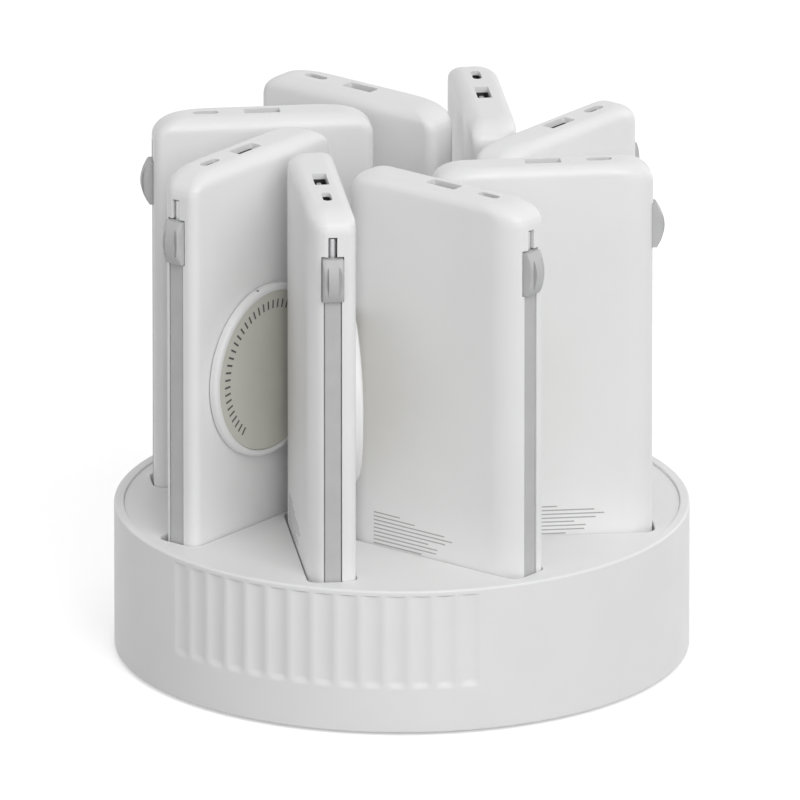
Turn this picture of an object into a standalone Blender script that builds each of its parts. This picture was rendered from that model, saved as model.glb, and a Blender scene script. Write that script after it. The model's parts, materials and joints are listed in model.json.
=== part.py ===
"""Tabletop power-bank charging station.

A round drum carries eight power banks, which stand on edge in wells round its axis like the vanes of a
pinwheel. Metres, +Z up. The origin is on the drum's axis, on the surface that the station stands on. The
front of the drum, with its flutes, faces -Y.

Each bank is modelled once in its own frame and placed eight times: x runs along its width, away from the
drum's axis, y through its thickness, towards the charging disc, and z up from its lower end.
"""

import math

import bpy
import bmesh
from mathutils import Matrix, Vector

MM = 0.001

# Gaps
FIT_GAP = 0.3 * MM           # between pieces that touch on the real object
SWING_GAP = 0.6 * MM         # over the plug, whose inner corner rises as it swings out
CUT_MARGIN = 2.0 * MM        # how far a cutter runs past the face that it opens

# Drum wall
DRUM_HEIGHT = 51.6 * MM      # lower edge of the wall to the top of the rim
RIM_WIDTH = 3.4 * MM
RIM_CHAMFER = 0.8 * MM
WALL_THICKNESS = 2.8 * MM
BASE_CHAMFER = 0.6 * MM
DRUM_STEPS = 72

# Flutes on the front of the wall
FLUTE_COUNT = 14
FLUTE_PITCH = math.radians(4.87)
FLUTE_FIRST = math.radians(-52.2)   # left edge of the first flute, from the front towards +X
FLUTE_DEPTH = 0.8 * MM
FLUTE_LAND = 0.2 * MM               # ridge left between two flutes
FLUTE_TOP_MARGIN = 1.8 * MM         # rim above the flutes
FLUTE_FOOT_MARGIN = 15.6 * MM       # plain band below the flutes
FLUTE_STEPS = 4

# Deck
DECK_RECESS = 0.8 * MM
DECK_THICKNESS = 2.4 * MM
LEDGE_WIDTH = 1.6 * MM
LEDGE_THICKNESS = 1.8 * MM

# Wells under the deck
SLOT_CLEARANCE = 0.4 * MM
SLOT_CORNER = 4.0 * MM
WELL_WALL = 1.5 * MM
WELL_FLOOR = 1.6 * MM
WELL_TO_LEDGE = 1.05 * MM
CONTACT_WINDOW_X = 16.0 * MM
CONTACT_WINDOW_Y = 6.0 * MM

# Bottom cover and feet
COVER_RECESS = 0.4 * MM
COVER_THICKNESS = 2.4 * MM
FOOT_RADIUS = 8.0 * MM
FOOT_THICKNESS = 2.2 * MM
FOOT_PROUD = 1.0 * MM
FOOT_CHAMFER = 0.4 * MM
FOOT_CIRCLE = 78.0 * MM
FOOT_COUNT = 4
FOOT_STEPS = 20
POST_RADIUS = 3.5 * MM
POST_CIRCLE = 66.0 * MM
POST_COUNT = 4
POST_STEPS = 10

# Charging board
BOARD_THICKNESS = 1.6 * MM
BOARD_DROP = 4.0 * MM        # below the wells' floors
BOARD_EDGE_GAP = 4.0 * MM    # inside the deck's ledge
BOARD_STEPS = 40

# Power module and inlet
MODULE_LENGTH = 62.0 * MM
MODULE_WIDTH = 40.0 * MM
MODULE_HEIGHT = 15.0 * MM
MODULE_BEVEL = 1.5 * MM
INLET_WIDTH = 13.0 * MM
INLET_HEIGHT = 11.0 * MM
INLET_LENGTH = 16.0 * MM
INLET_SUNK = 0.7 * MM        # its face lies inside the drum's round wall
INLET_RISE = 13.0 * MM       # its axis above the wall's lower edge
INLET_BORE_RADIUS = 3.2 * MM
INLET_BORE_DEPTH = 9.5 * MM
INLET_PIN_RADIUS = 1.05 * MM
INLET_PIN_SUNK = 1.0 * MM
INLET_STEPS = 16

# Power bank
BANK_COUNT = 8
BANK_TURN = math.radians(6.6)       # its width leans this far from the front-to-back line
BANK_OFFSET = 33.55 * MM            # its middle plane's distance from the drum's axis
BANK_WIDTH = 76.65 * MM
BANK_THICKNESS = 16.55 * MM
BANK_HEIGHT = 151.7 * MM
BANK_SINK = 18.0 * MM               # depth of its lower end below the deck
BANK_BARE_CORNER_X = 11.1 * MM      # upright corners next to the bare wide face
BANK_BARE_CORNER_Y = 6.8 * MM
BANK_DISC_CORNER = 3.5 * MM         # upright corners next to the disc's face
BANK_SHOULDER_X = 11.5 * MM         # top corners, seen on the wide face
BANK_SHOULDER_Z = 7.9 * MM
BANK_BARE_EDGE = 4.0 * MM           # radius of the top edge along the bare wide face
BANK_DISC_EDGE = 5.25 * MM          # radius of the top edge along the disc's face
BANK_NEIGHBOUR_GAP = 0.6 * MM       # between its disc and the next bank's inner corner
CORNER_STEPS = 4
CROWN_LEVELS = (1.0, 0.66, 0.38, 0.18, 0.05, 0.0)   # the crown's sections, as shares of the shoulder

# Bank housing
FACE_WALL = 2.4 * MM
SIDE_WALL = 4.8 * MM
CROWN_WALL = 2.5 * MM
POCKET_WALL = 2.2 * MM              # behind and below the plug's notch
CAVITY_CORNER = 9.0 * MM            # slope inside the two top corners

# End cap
CAP_FLANGE = 2.0 * MM
CAP_SPIGOT = 4.0 * MM
CAP_SPIGOT_WALL = 2.4 * MM
CONTACT_PAD_X = 5.0 * MM
CONTACT_PAD_Y = 4.0 * MM
CONTACT_PAD_DEPTH = 0.4 * MM
CONTACT_PAD_SPACING = 8.0 * MM

# Charging disc
DISC_RADIUS = 30.65 * MM
DISC_THICKNESS = 3.0 * MM
DISC_RISE = 55.3 * MM               # its centre above the deck
DISC_RING = 2.9 * MM
DISC_FACE_SUNK = 0.4 * MM
DISC_CHAMFER = 0.7 * MM
DISC_STEPS = 32

# Sockets on the bank's crown
USB_A_X = 0.0
USB_A_WIDTH = 12.5 * MM
USB_A_HEIGHT = 5.0 * MM
USB_A_DEPTH = 11.0 * MM
USB_A_TONGUE_WIDTH = 10.8 * MM
USB_A_TONGUE = 1.8 * MM
USB_C_X = 19.6 * MM
USB_C_WIDTH = 9.0 * MM
USB_C_HEIGHT = 3.2 * MM
USB_C_DEPTH = 7.0 * MM
USB_C_TONGUE_WIDTH = 6.6 * MM
USB_C_TONGUE = 0.7 * MM
TONGUE_SUNK = 0.8 * MM
CAN_WALL = 0.6 * MM

# Button in the bank's inner narrow side
BUTTON_Y = 1.6 * MM
BUTTON_Z = 109.0 * MM
BUTTON_LENGTH = 8.0 * MM
BUTTON_WIDTH = 3.2 * MM
BUTTON_PROUD = 0.3 * MM
BUTTON_TRAVEL = 0.8 * MM
BUTTON_FLANGE = 0.8 * MM
BUTTON_LIP = 0.7 * MM
BUTTON_STEPS = 4

# Cell pack
CELL_WIDTH = 61.0 * MM
CELL_THICKNESS = 10.4 * MM
BOARD_BLADE = 1.6 * MM
BOARD_START = -23.0 * MM            # inner end of the upright board above the cells
CELL_TOP_GAP = 2.0 * MM             # cells end this far below the plug's pocket

# Built-in cable
STRAP_WIDTH = 5.7 * MM
STRAP_THICKNESS = 1.6 * MM
STRAP_PIVOT_RISE = 3.0 * MM         # the strap bends this far above the deck
PLUG_RISE = 101.8 * MM              # plug's lower end above the deck
PLUG_HEIGHT = 16.4 * MM
PLUG_WIDTH = 7.2 * MM
PLUG_DEPTH = 8.9 * MM               # how far it goes into the housing
PLUG_BULGE = 4.0 * MM               # how far its front stands out of the bank, halfway up
PLUG_END_BULGE = 1.4 * MM           # and at its two ends
PLUG_SIDE_BULGE = 2.0 * MM          # its sides are flat this far out
PLUG_NOSE_WIDTH = 4.2 * MM
PLUG_STEPS = 8
SCOOP_SHARE = 0.62                  # finger hollow's height over the plug's
SCOOP_RIDGE = 3.5 * MM              # ridge between the two finger hollows
SCOOP_BULGE = 2.6 * MM              # foot of the ridge's wall, above the bank's side
SCOOP_SLOPE = math.radians(30.0)
TIP_HEIGHT = 7.0 * MM
TIP_THICKNESS = 2.5 * MM
TIP_WIDTH = 8.3 * MM

# Sizes that follow from the others
BANK_ANGLE = 2.0 * math.pi / BANK_COUNT
HALF_WIDTH = BANK_WIDTH / 2.0
HALF_THICKNESS = BANK_THICKNESS / 2.0
DISC_TOP = HALF_THICKNESS + FIT_GAP + DISC_THICKNESS
RIM_TOP = FOOT_PROUD + DRUM_HEIGHT
DECK_TOP = RIM_TOP - DECK_RECESS
BANK_FOOT = DECK_TOP - BANK_SINK
WELL_FLOOR_TOP = BANK_FOOT - FIT_GAP
BOARD_TOP = WELL_FLOOR_TOP - WELL_FLOOR - BOARD_DROP
COVER_BOTTOM = FOOT_PROUD + COVER_RECESS
COVER_TOP = COVER_BOTTOM + COVER_THICKNESS
CHANNEL_FLOOR = HALF_WIDTH - 2.0 * FIT_GAP - STRAP_THICKNESS
STRAP_FACE = HALF_WIDTH - FIT_GAP
STRAP_MIDDLE = STRAP_FACE - STRAP_THICKNESS / 2.0
PIVOT_Z = BANK_SINK + STRAP_PIVOT_RISE
PLUG_FOOT = BANK_SINK + PLUG_RISE
PLUG_TOP = PLUG_FOOT + PLUG_HEIGHT
TIP_TOP = PLUG_TOP + TIP_HEIGHT
PLUG_BACK = HALF_WIDTH - PLUG_DEPTH
CAVITY_SIDE = HALF_WIDTH - SIDE_WALL
CAVITY_FACE = HALF_THICKNESS - FACE_WALL
CAVITY_TOP = BANK_HEIGHT - CROWN_WALL
CAVITY_POCKET_SIDE = PLUG_BACK - FIT_GAP - POCKET_WALL
CAVITY_STEP = PLUG_FOOT - FIT_GAP - POCKET_WALL
BUTTON_FLANGE_END = -CAVITY_SIDE + FIT_GAP + BUTTON_FLANGE


def bank_inner_end():
    """Distance along a bank's width from the drum's axis to its inner end.

    The next bank's rounded inner corner stays clear of this bank's disc.
    """
    sine = math.sin(BANK_ANGLE)
    cosine = math.cos(BANK_ANGLE)
    wanted = -BANK_OFFSET + DISC_TOP + BANK_NEIGHBOUR_GAP
    corner_y = -BANK_OFFSET - HALF_THICKNESS + BANK_BARE_CORNER_Y
    corner_reach = math.hypot(BANK_BARE_CORNER_X * sine, BANK_BARE_CORNER_Y * cosine)
    return (wanted - corner_y * cosine + corner_reach) / sine - BANK_BARE_CORNER_X


BANK_MIDDLE = bank_inner_end() + HALF_WIDTH
WELL_CORNER = SLOT_CORNER + WELL_WALL
WELL_REACH = WELL_CORNER + math.hypot(
    BANK_MIDDLE + HALF_WIDTH + SLOT_CLEARANCE - SLOT_CORNER,
    BANK_OFFSET + HALF_THICKNESS + SLOT_CLEARANCE - SLOT_CORNER,
)
LEDGE_RADIUS = WELL_REACH + WELL_TO_LEDGE
RIM_INNER_RADIUS = LEDGE_RADIUS + LEDGE_WIDTH
DRUM_RADIUS = RIM_INNER_RADIUS + RIM_WIDTH
WALL_INNER_RADIUS = DRUM_RADIUS - WALL_THICKNESS


# Building blocks


def clear_objects():
    for item in list(bpy.data.objects):
        bpy.data.objects.remove(item, do_unlink=True)


def make_material(name, colour, roughness, metallic=0.0):
    material = bpy.data.materials.new(name)
    material.use_nodes = True
    shader = material.node_tree.nodes["Principled BSDF"]
    shader.inputs["Base Color"].default_value = (*colour, 1.0)
    shader.inputs["Roughness"].default_value = roughness
    shader.inputs["Metallic"].default_value = metallic
    material.diffuse_color = (*colour, 1.0)
    return material


def mesh_object(name, bm):
    """Object with the given bmesh as its mesh, its faces turned outwards."""
    bmesh.ops.recalc_face_normals(bm, faces=bm.faces)
    mesh = bpy.data.meshes.new(name)
    bm.to_mesh(mesh)
    bm.free()
    item = bpy.data.objects.new(name, mesh)
    bpy.context.scene.collection.objects.link(item)
    return item


def add_loft(bm, rings):
    """Skin over rings of points, each ring alike in count, closed at both ends."""
    loops = [[bm.verts.new(point) for point in ring] for ring in rings]
    count = len(loops[0])
    for lower, upper in zip(loops, loops[1:]):
        for index in range(count):
            after = (index + 1) % count
            bm.faces.new((lower[index], lower[after], upper[after], upper[index]))
    bm.faces.new(list(reversed(loops[0])))
    bm.faces.new(loops[-1])


def add_prism(bm, outline, low, high, axis="z"):
    """Straight prism: outline holds pairs, low and high bound it along the axis.

    The pairs are (x, y) for a prism along z, (x, z) for one along y and (y, z) for one along x.
    """
    if axis == "z":
        rings = [[Vector((u, v, level)) for u, v in outline] for level in (low, high)]
    elif axis == "y":
        rings = [[Vector((u, level, v)) for u, v in outline] for level in (low, high)]
    else:
        rings = [[Vector((level, u, v)) for u, v in outline] for level in (low, high)]
    add_loft(bm, rings)


def add_box(bm, x_range, y_range, z_range):
    outline = [
        (x_range[0], y_range[0]),
        (x_range[1], y_range[0]),
        (x_range[1], y_range[1]),
        (x_range[0], y_range[1]),
    ]
    add_prism(bm, outline, z_range[0], z_range[1])


def circle_points(radius, steps, centre=(0.0, 0.0)):
    turn = 2.0 * math.pi / steps
    return [
        (centre[0] + radius * math.cos(turn * step), centre[1] + radius * math.sin(turn * step))
        for step in range(steps)
    ]


def rectangle(half_x, half_y):
    return [(-half_x, -half_y), (half_x, -half_y), (half_x, half_y), (-half_x, half_y)]


def slab_outline(half_x, half_y, corner_x, corner_y, steps):
    """Rectangle round the origin with elliptical corners, anticlockwise."""
    points = []
    corners = ((1, 1, 0.0), (-1, 1, 0.5), (-1, -1, 1.0), (1, -1, 1.5))
    for sign_x, sign_y, start in corners:
        for step in range(steps + 1):
            angle = math.pi * (start + 0.5 * step / steps)
            x = sign_x * (half_x - corner_x) + corner_x * math.cos(angle)
            y = sign_y * (half_y - corner_y) + corner_y * math.sin(angle)
            points.append((x, y))
    return points


def add_turned(bm, profile, steps):
    """Solid of revolution about z. The profile is a closed list of (radius, z)."""
    turn = 2.0 * math.pi / steps
    columns = []
    for step in range(steps):
        cosine = math.cos(turn * step)
        sine = math.sin(turn * step)
        columns.append([bm.verts.new((r * cosine, r * sine, z)) for r, z in profile])
    for step in range(steps):
        here = columns[step]
        there = columns[(step + 1) % steps]
        for index in range(len(profile)):
            after = (index + 1) % len(profile)
            bm.faces.new((here[index], there[index], there[after], here[after]))


def apply_boolean(body, tool, operation):
    """Join the tool to the body or take it away, and keep only the result."""
    step = body.modifiers.new(operation.title(), "BOOLEAN")
    step.operation = operation
    step.solver = "EXACT"
    step.object = tool
    depsgraph = bpy.context.evaluated_depsgraph_get()
    result = bpy.data.meshes.new_from_object(body.evaluated_get(depsgraph))
    body.modifiers.clear()
    body.data = result
    bpy.data.objects.remove(tool, do_unlink=True)


def cut(body, bm):
    apply_boolean(body, mesh_object("cutter", bm), "DIFFERENCE")


def join(body, bm):
    apply_boolean(body, mesh_object("addition", bm), "UNION")


def finish(item, material, name=None, sharp_angle=35.0):
    """Name, colour and shade a finished piece."""
    if name:
        item.name = name
        item.data.name = name
    item.data.materials.clear()
    item.data.materials.append(material)
    item.data.shade_smooth()
    item.data.set_sharp_from_angle(angle=math.radians(sharp_angle))
    return item


# Drum


def flute_outline(middle_angle):
    """Plan of one flute's cutter: an arc that dips into the wall, and two far corners."""
    half_chord = DRUM_RADIUS * math.sin(FLUTE_PITCH / 2.0) - FLUTE_LAND / 2.0
    chord_line = math.sqrt(DRUM_RADIUS ** 2 - half_chord ** 2)
    dip = chord_line - (DRUM_RADIUS - FLUTE_DEPTH)
    arc_radius = (half_chord ** 2 + dip ** 2) / (2.0 * dip)
    arc_centre = chord_line - dip + arc_radius
    half_arc = math.asin(half_chord / arc_radius)
    local = []
    for step in range(FLUTE_STEPS + 1):
        angle = half_arc * (2.0 * step / FLUTE_STEPS - 1.0)
        local.append((arc_centre - arc_radius * math.cos(angle), arc_radius * math.sin(angle)))
    local.append((DRUM_RADIUS + CUT_MARGIN, half_chord))
    local.append((DRUM_RADIUS + CUT_MARGIN, -half_chord))
    turn = middle_angle - math.pi / 2.0
    cosine = math.cos(turn)
    sine = math.sin(turn)
    return [(r * cosine - t * sine, r * sine + t * cosine) for r, t in local]


def build_drum_shell(material):
    lower_edge = FOOT_PROUD
    ledge_top = DECK_TOP - DECK_THICKNESS - FIT_GAP
    ledge_bottom = ledge_top - LEDGE_THICKNESS
    profile = [
        (DRUM_RADIUS - BASE_CHAMFER, lower_edge),
        (DRUM_RADIUS, lower_edge + BASE_CHAMFER),
        (DRUM_RADIUS, RIM_TOP - RIM_CHAMFER),
        (DRUM_RADIUS - RIM_CHAMFER, RIM_TOP),
        (RIM_INNER_RADIUS, RIM_TOP),
        (RIM_INNER_RADIUS, ledge_top),
        (LEDGE_RADIUS, ledge_top),
        (LEDGE_RADIUS, ledge_bottom),
        (WALL_INNER_RADIUS, ledge_bottom - (WALL_INNER_RADIUS - LEDGE_RADIUS)),
        (WALL_INNER_RADIUS, lower_edge),
    ]
    bm = bmesh.new()
    add_turned(bm, profile, DRUM_STEPS)
    shell = mesh_object("drum_shell", bm)

    flutes = bmesh.new()
    for index in range(FLUTE_COUNT):
        middle = FLUTE_FIRST + FLUTE_PITCH * (index + 0.5)
        add_prism(
            flutes,
            flute_outline(middle),
            lower_edge + FLUTE_FOOT_MARGIN,
            RIM_TOP - FLUTE_TOP_MARGIN,
        )
    cut(shell, flutes)

    opening = bmesh.new()
    half_x = INLET_WIDTH / 2.0 + FIT_GAP
    half_z = INLET_HEIGHT / 2.0 + FIT_GAP
    axis_z = lower_edge + INLET_RISE
    add_box(
        opening,
        (-half_x, half_x),
        (DRUM_RADIUS / 2.0, DRUM_RADIUS + CUT_MARGIN),
        (axis_z - half_z, axis_z + half_z),
    )
    cut(shell, opening)
    return finish(shell, material)


def bank_placements():
    """Angle and place of each bank's frame, front bank first, anticlockwise from above."""
    placements = []
    for index in range(BANK_COUNT):
        angle = BANK_TURN - math.pi / 2.0 + BANK_ANGLE * index
        turn = Matrix.Rotation(angle, 4, "Z")
        place = turn @ Vector((BANK_MIDDLE, -BANK_OFFSET, BANK_FOOT))
        placements.append((angle, place))
    return placements


def placed_outline(outline, angle, place):
    cosine = math.cos(angle)
    sine = math.sin(angle)
    return [(place.x + x * cosine - y * sine, place.y + x * sine + y * cosine) for x, y in outline]


def build_deck_plate(material):
    deck_bottom = DECK_TOP - DECK_THICKNESS
    bm = bmesh.new()
    add_prism(bm, circle_points(RIM_INNER_RADIUS - FIT_GAP, DRUM_STEPS), deck_bottom, DECK_TOP)
    deck = mesh_object("deck_plate", bm)

    slot = slab_outline(
        HALF_WIDTH + SLOT_CLEARANCE,
        HALF_THICKNESS + SLOT_CLEARANCE,
        SLOT_CORNER,
        SLOT_CORNER,
        CORNER_STEPS,
    )
    well = slab_outline(
        HALF_WIDTH + SLOT_CLEARANCE + WELL_WALL,
        HALF_THICKNESS + SLOT_CLEARANCE + WELL_WALL,
        WELL_CORNER,
        WELL_CORNER,
        CORNER_STEPS,
    )
    window = rectangle(CONTACT_WINDOW_X / 2.0, CONTACT_WINDOW_Y / 2.0)
    well_bottom = WELL_FLOOR_TOP - WELL_FLOOR
    for angle, place in bank_placements():
        wall = bmesh.new()
        add_prism(
            wall,
            placed_outline(well, angle, place),
            well_bottom,
            DECK_TOP - DECK_THICKNESS / 2.0,
        )
        join(deck, wall)
    for angle, place in bank_placements():
        hollow = bmesh.new()
        add_prism(hollow, placed_outline(slot, angle, place), WELL_FLOOR_TOP, DECK_TOP + CUT_MARGIN)
        cut(deck, hollow)
        hole = bmesh.new()
        add_prism(
            hole,
            placed_outline(window, angle, place),
            well_bottom - CUT_MARGIN,
            WELL_FLOOR_TOP + CUT_MARGIN,
        )
        cut(deck, hole)
    return finish(deck, material)


def spread_round(radius, count):
    """Points round the axis, half a pitch away from the front."""
    turn = 2.0 * math.pi / count
    return [
        (radius * math.cos(turn * (index + 0.5)), radius * math.sin(turn * (index + 0.5)))
        for index in range(count)
    ]


def build_bottom_cover(material):
    bm = bmesh.new()
    add_prism(bm, circle_points(WALL_INNER_RADIUS - FIT_GAP, DRUM_STEPS), COVER_BOTTOM, COVER_TOP)
    cover = mesh_object("bottom_cover", bm)
    post_top = BOARD_TOP - BOARD_THICKNESS - FIT_GAP
    for centre in spread_round(POST_CIRCLE, POST_COUNT):
        post = bmesh.new()
        outline = circle_points(POST_RADIUS, POST_STEPS, centre)
        add_prism(post, outline, COVER_TOP - COVER_THICKNESS / 2.0, post_top)
        join(cover, post)
    recess_top = FOOT_THICKNESS + FIT_GAP
    for centre in spread_round(FOOT_CIRCLE, FOOT_COUNT):
        recess = bmesh.new()
        outline = circle_points(FOOT_RADIUS + FIT_GAP, FOOT_STEPS, centre)
        add_prism(recess, outline, -CUT_MARGIN, recess_top)
        cut(cover, recess)
    return finish(cover, material)


def build_feet(material):
    for index, centre in enumerate(spread_round(FOOT_CIRCLE, FOOT_COUNT)):
        bm = bmesh.new()
        sections = (
            (FOOT_RADIUS - FOOT_CHAMFER, 0.0),
            (FOOT_RADIUS, FOOT_CHAMFER),
            (FOOT_RADIUS, FOOT_THICKNESS),
        )
        rings = [
            [Vector((x, y, level)) for x, y in circle_points(radius, FOOT_STEPS)]
            for radius, level in sections
        ]
        add_loft(bm, rings)
        foot = mesh_object(f"foot_{index + 1}", bm)
        foot.location = (centre[0], centre[1], 0.0)
        finish(foot, material)


def build_charging_board(material):
    board_bottom = BOARD_TOP - BOARD_THICKNESS
    bm = bmesh.new()
    add_prism(bm, circle_points(LEDGE_RADIUS - BOARD_EDGE_GAP, BOARD_STEPS), board_bottom, BOARD_TOP)
    board = mesh_object("charging_board", bm)
    block = rectangle(CONTACT_WINDOW_X / 2.0 - FIT_GAP, CONTACT_WINDOW_Y / 2.0 - FIT_GAP)
    for angle, place in bank_placements():
        contact = bmesh.new()
        add_prism(
            contact,
            placed_outline(block, angle, place),
            BOARD_TOP - BOARD_THICKNESS / 2.0,
            BANK_FOOT - FIT_GAP,
        )
        join(board, contact)
    return finish(board, material)


def build_power_module(material):
    low = COVER_TOP + FIT_GAP
    half_x = MODULE_LENGTH / 2.0
    half_y = MODULE_WIDTH / 2.0
    bm = bmesh.new()
    sections = (
        (0.0, low),
        (0.0, low + MODULE_HEIGHT - MODULE_BEVEL),
        (MODULE_BEVEL, low + MODULE_HEIGHT),
    )
    rings = []
    for inset, level in sections:
        outline = slab_outline(half_x - inset, half_y - inset, MODULE_BEVEL, MODULE_BEVEL, 1)
        rings.append([Vector((x, y, level)) for x, y in outline])
    add_loft(bm, rings)
    return finish(mesh_object("power_module", bm), material)


def build_power_inlet(material):
    """Round low-voltage inlet: a block with a blind bore and a pin in it, facing the rear."""
    face = DRUM_RADIUS - INLET_SUNK
    axis_z = FOOT_PROUD + INLET_RISE
    bm = bmesh.new()
    add_box(
        bm,
        (-INLET_WIDTH / 2.0, INLET_WIDTH / 2.0),
        (face - INLET_LENGTH, face),
        (axis_z - INLET_HEIGHT / 2.0, axis_z + INLET_HEIGHT / 2.0),
    )
    inlet = mesh_object("power_inlet", bm)
    bore = bmesh.new()
    bore_floor = face - INLET_BORE_DEPTH
    outline = circle_points(INLET_BORE_RADIUS, INLET_STEPS, (0.0, axis_z))
    add_prism(bore, outline, bore_floor, face + CUT_MARGIN, axis="y")
    cut(inlet, bore)
    pin = bmesh.new()
    outline = circle_points(INLET_PIN_RADIUS, INLET_STEPS // 2, (0.0, axis_z))
    add_prism(pin, outline, bore_floor - CUT_MARGIN, face - INLET_PIN_SUNK, axis="y")
    join(inlet, pin)
    return finish(inlet, material)


# Power bank, in its own frame


def edge_inset(below_top, drop, reach):
    """How far a rounded top edge has come in at a distance below the top."""
    if below_top >= drop:
        return 0.0
    rise = 1.0 - below_top / drop
    return reach * (1.0 - math.sqrt(1.0 - rise ** 2))


def crown_section(level):
    """Half width of the bank's outer form at a height, and its reach to the two wide faces."""
    below_top = BANK_HEIGHT - level
    half_x = HALF_WIDTH - edge_inset(below_top, BANK_SHOULDER_Z, BANK_SHOULDER_X)
    bare_y = HALF_THICKNESS - edge_inset(below_top, BANK_BARE_EDGE, BANK_BARE_EDGE)
    disc_y = HALF_THICKNESS - edge_inset(below_top, BANK_DISC_EDGE, BANK_DISC_EDGE)
    return half_x, bare_y, disc_y


def bank_ring(level):
    """Plan of the bank at a height, anticlockwise: two tight corners, then the two large ones."""
    half_x, bare_y, disc_y = crown_section(level)
    disc_corner_y = BANK_DISC_CORNER * disc_y / HALF_THICKNESS
    bare_corner_y = BANK_BARE_CORNER_Y * bare_y / HALF_THICKNESS
    disc_middle = disc_y - disc_corner_y
    bare_middle = bare_corner_y - bare_y
    corners = (
        (1.0, disc_middle, BANK_DISC_CORNER, disc_corner_y, 0.0),
        (-1.0, disc_middle, BANK_DISC_CORNER, disc_corner_y, 0.5),
        (-1.0, bare_middle, BANK_BARE_CORNER_X, bare_corner_y, 1.0),
        (1.0, bare_middle, BANK_BARE_CORNER_X, bare_corner_y, 1.5),
    )
    points = []
    for side, middle_y, corner_x, corner_y, start in corners:
        for step in range(CORNER_STEPS + 1):
            angle = math.pi * (start + 0.5 * step / CORNER_STEPS)
            x = side * (half_x - corner_x) + corner_x * math.cos(angle)
            points.append(Vector((x, middle_y + corner_y * math.sin(angle), level)))
    return points


def cavity_outline():
    """Inside of the housing seen on its wide face: stepped round the plug's pocket."""
    slope = CAVITY_CORNER
    return [
        (-CAVITY_SIDE, -CUT_MARGIN),
        (CAVITY_SIDE, -CUT_MARGIN),
        (CAVITY_SIDE, CAVITY_STEP),
        (CAVITY_POCKET_SIDE, CAVITY_STEP),
        (CAVITY_POCKET_SIDE, CAVITY_TOP),
        (-CAVITY_SIDE + slope, CAVITY_TOP),
        (-CAVITY_SIDE, CAVITY_TOP - slope),
    ]


def build_bank_housing():
    lower_edge = CAP_FLANGE + FIT_GAP
    levels = [lower_edge] + [BANK_HEIGHT - share * BANK_SHOULDER_Z for share in CROWN_LEVELS]
    bm = bmesh.new()
    add_loft(bm, [bank_ring(level) for level in levels])
    housing = mesh_object("bank_housing", bm)

    cavity = bmesh.new()
    add_prism(cavity, cavity_outline(), -CAVITY_FACE, CAVITY_FACE, axis="y")
    cut(housing, cavity)

    outside = HALF_WIDTH + CUT_MARGIN
    channel = bmesh.new()
    half_channel = STRAP_WIDTH / 2.0 + FIT_GAP
    half_notch = PLUG_WIDTH / 2.0 + FIT_GAP
    half_tip_slot = TIP_THICKNESS / 2.0 + FIT_GAP
    notch_foot = PLUG_FOOT - FIT_GAP
    notch_top = PLUG_TOP + SWING_GAP
    slot_top = TIP_TOP + SWING_GAP
    notch_back = PLUG_BACK - FIT_GAP
    add_box(
        channel,
        (CHANNEL_FLOOR, outside),
        (-half_channel, half_channel),
        (-CUT_MARGIN, notch_foot + FIT_GAP),
    )
    cut(housing, channel)
    notch = bmesh.new()
    add_box(notch, (notch_back, outside), (-half_notch, half_notch), (notch_foot, notch_top))
    cut(housing, notch)
    tip_slot = bmesh.new()
    add_box(
        tip_slot,
        (notch_back, outside),
        (-half_tip_slot, half_tip_slot),
        (notch_top - FIT_GAP, slot_top),
    )
    cut(housing, tip_slot)

    sockets = bmesh.new()
    above = BANK_HEIGHT + CUT_MARGIN
    below = CAVITY_TOP - CUT_MARGIN
    half_a_y = USB_A_HEIGHT / 2.0
    half_c_y = USB_C_HEIGHT / 2.0
    usb_a = rectangle(USB_A_WIDTH / 2.0, half_a_y)
    add_prism(sockets, [(USB_A_X + x, y) for x, y in usb_a], below, above)
    usb_c = slab_outline(USB_C_WIDTH / 2.0, half_c_y, half_c_y, half_c_y, 2)
    add_prism(sockets, [(USB_C_X + x, y) for x, y in usb_c], below, above)
    cut(housing, sockets)
    button_hole = bmesh.new()
    inner_side = -HALF_WIDTH - CUT_MARGIN
    add_prism(button_hole, button_outline(FIT_GAP), inner_side, -CAVITY_SIDE + CUT_MARGIN, axis="x")
    cut(housing, button_hole)
    return housing


def button_outline(grow):
    """The button's pill shape, grown all round, as pairs of y and z."""
    half_y = BUTTON_WIDTH / 2.0 + grow
    outline = slab_outline(half_y, BUTTON_LENGTH / 2.0 + grow, half_y, half_y, BUTTON_STEPS // 2)
    return [(BUTTON_Y + y, BUTTON_Z + z) for y, z in outline]


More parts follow.
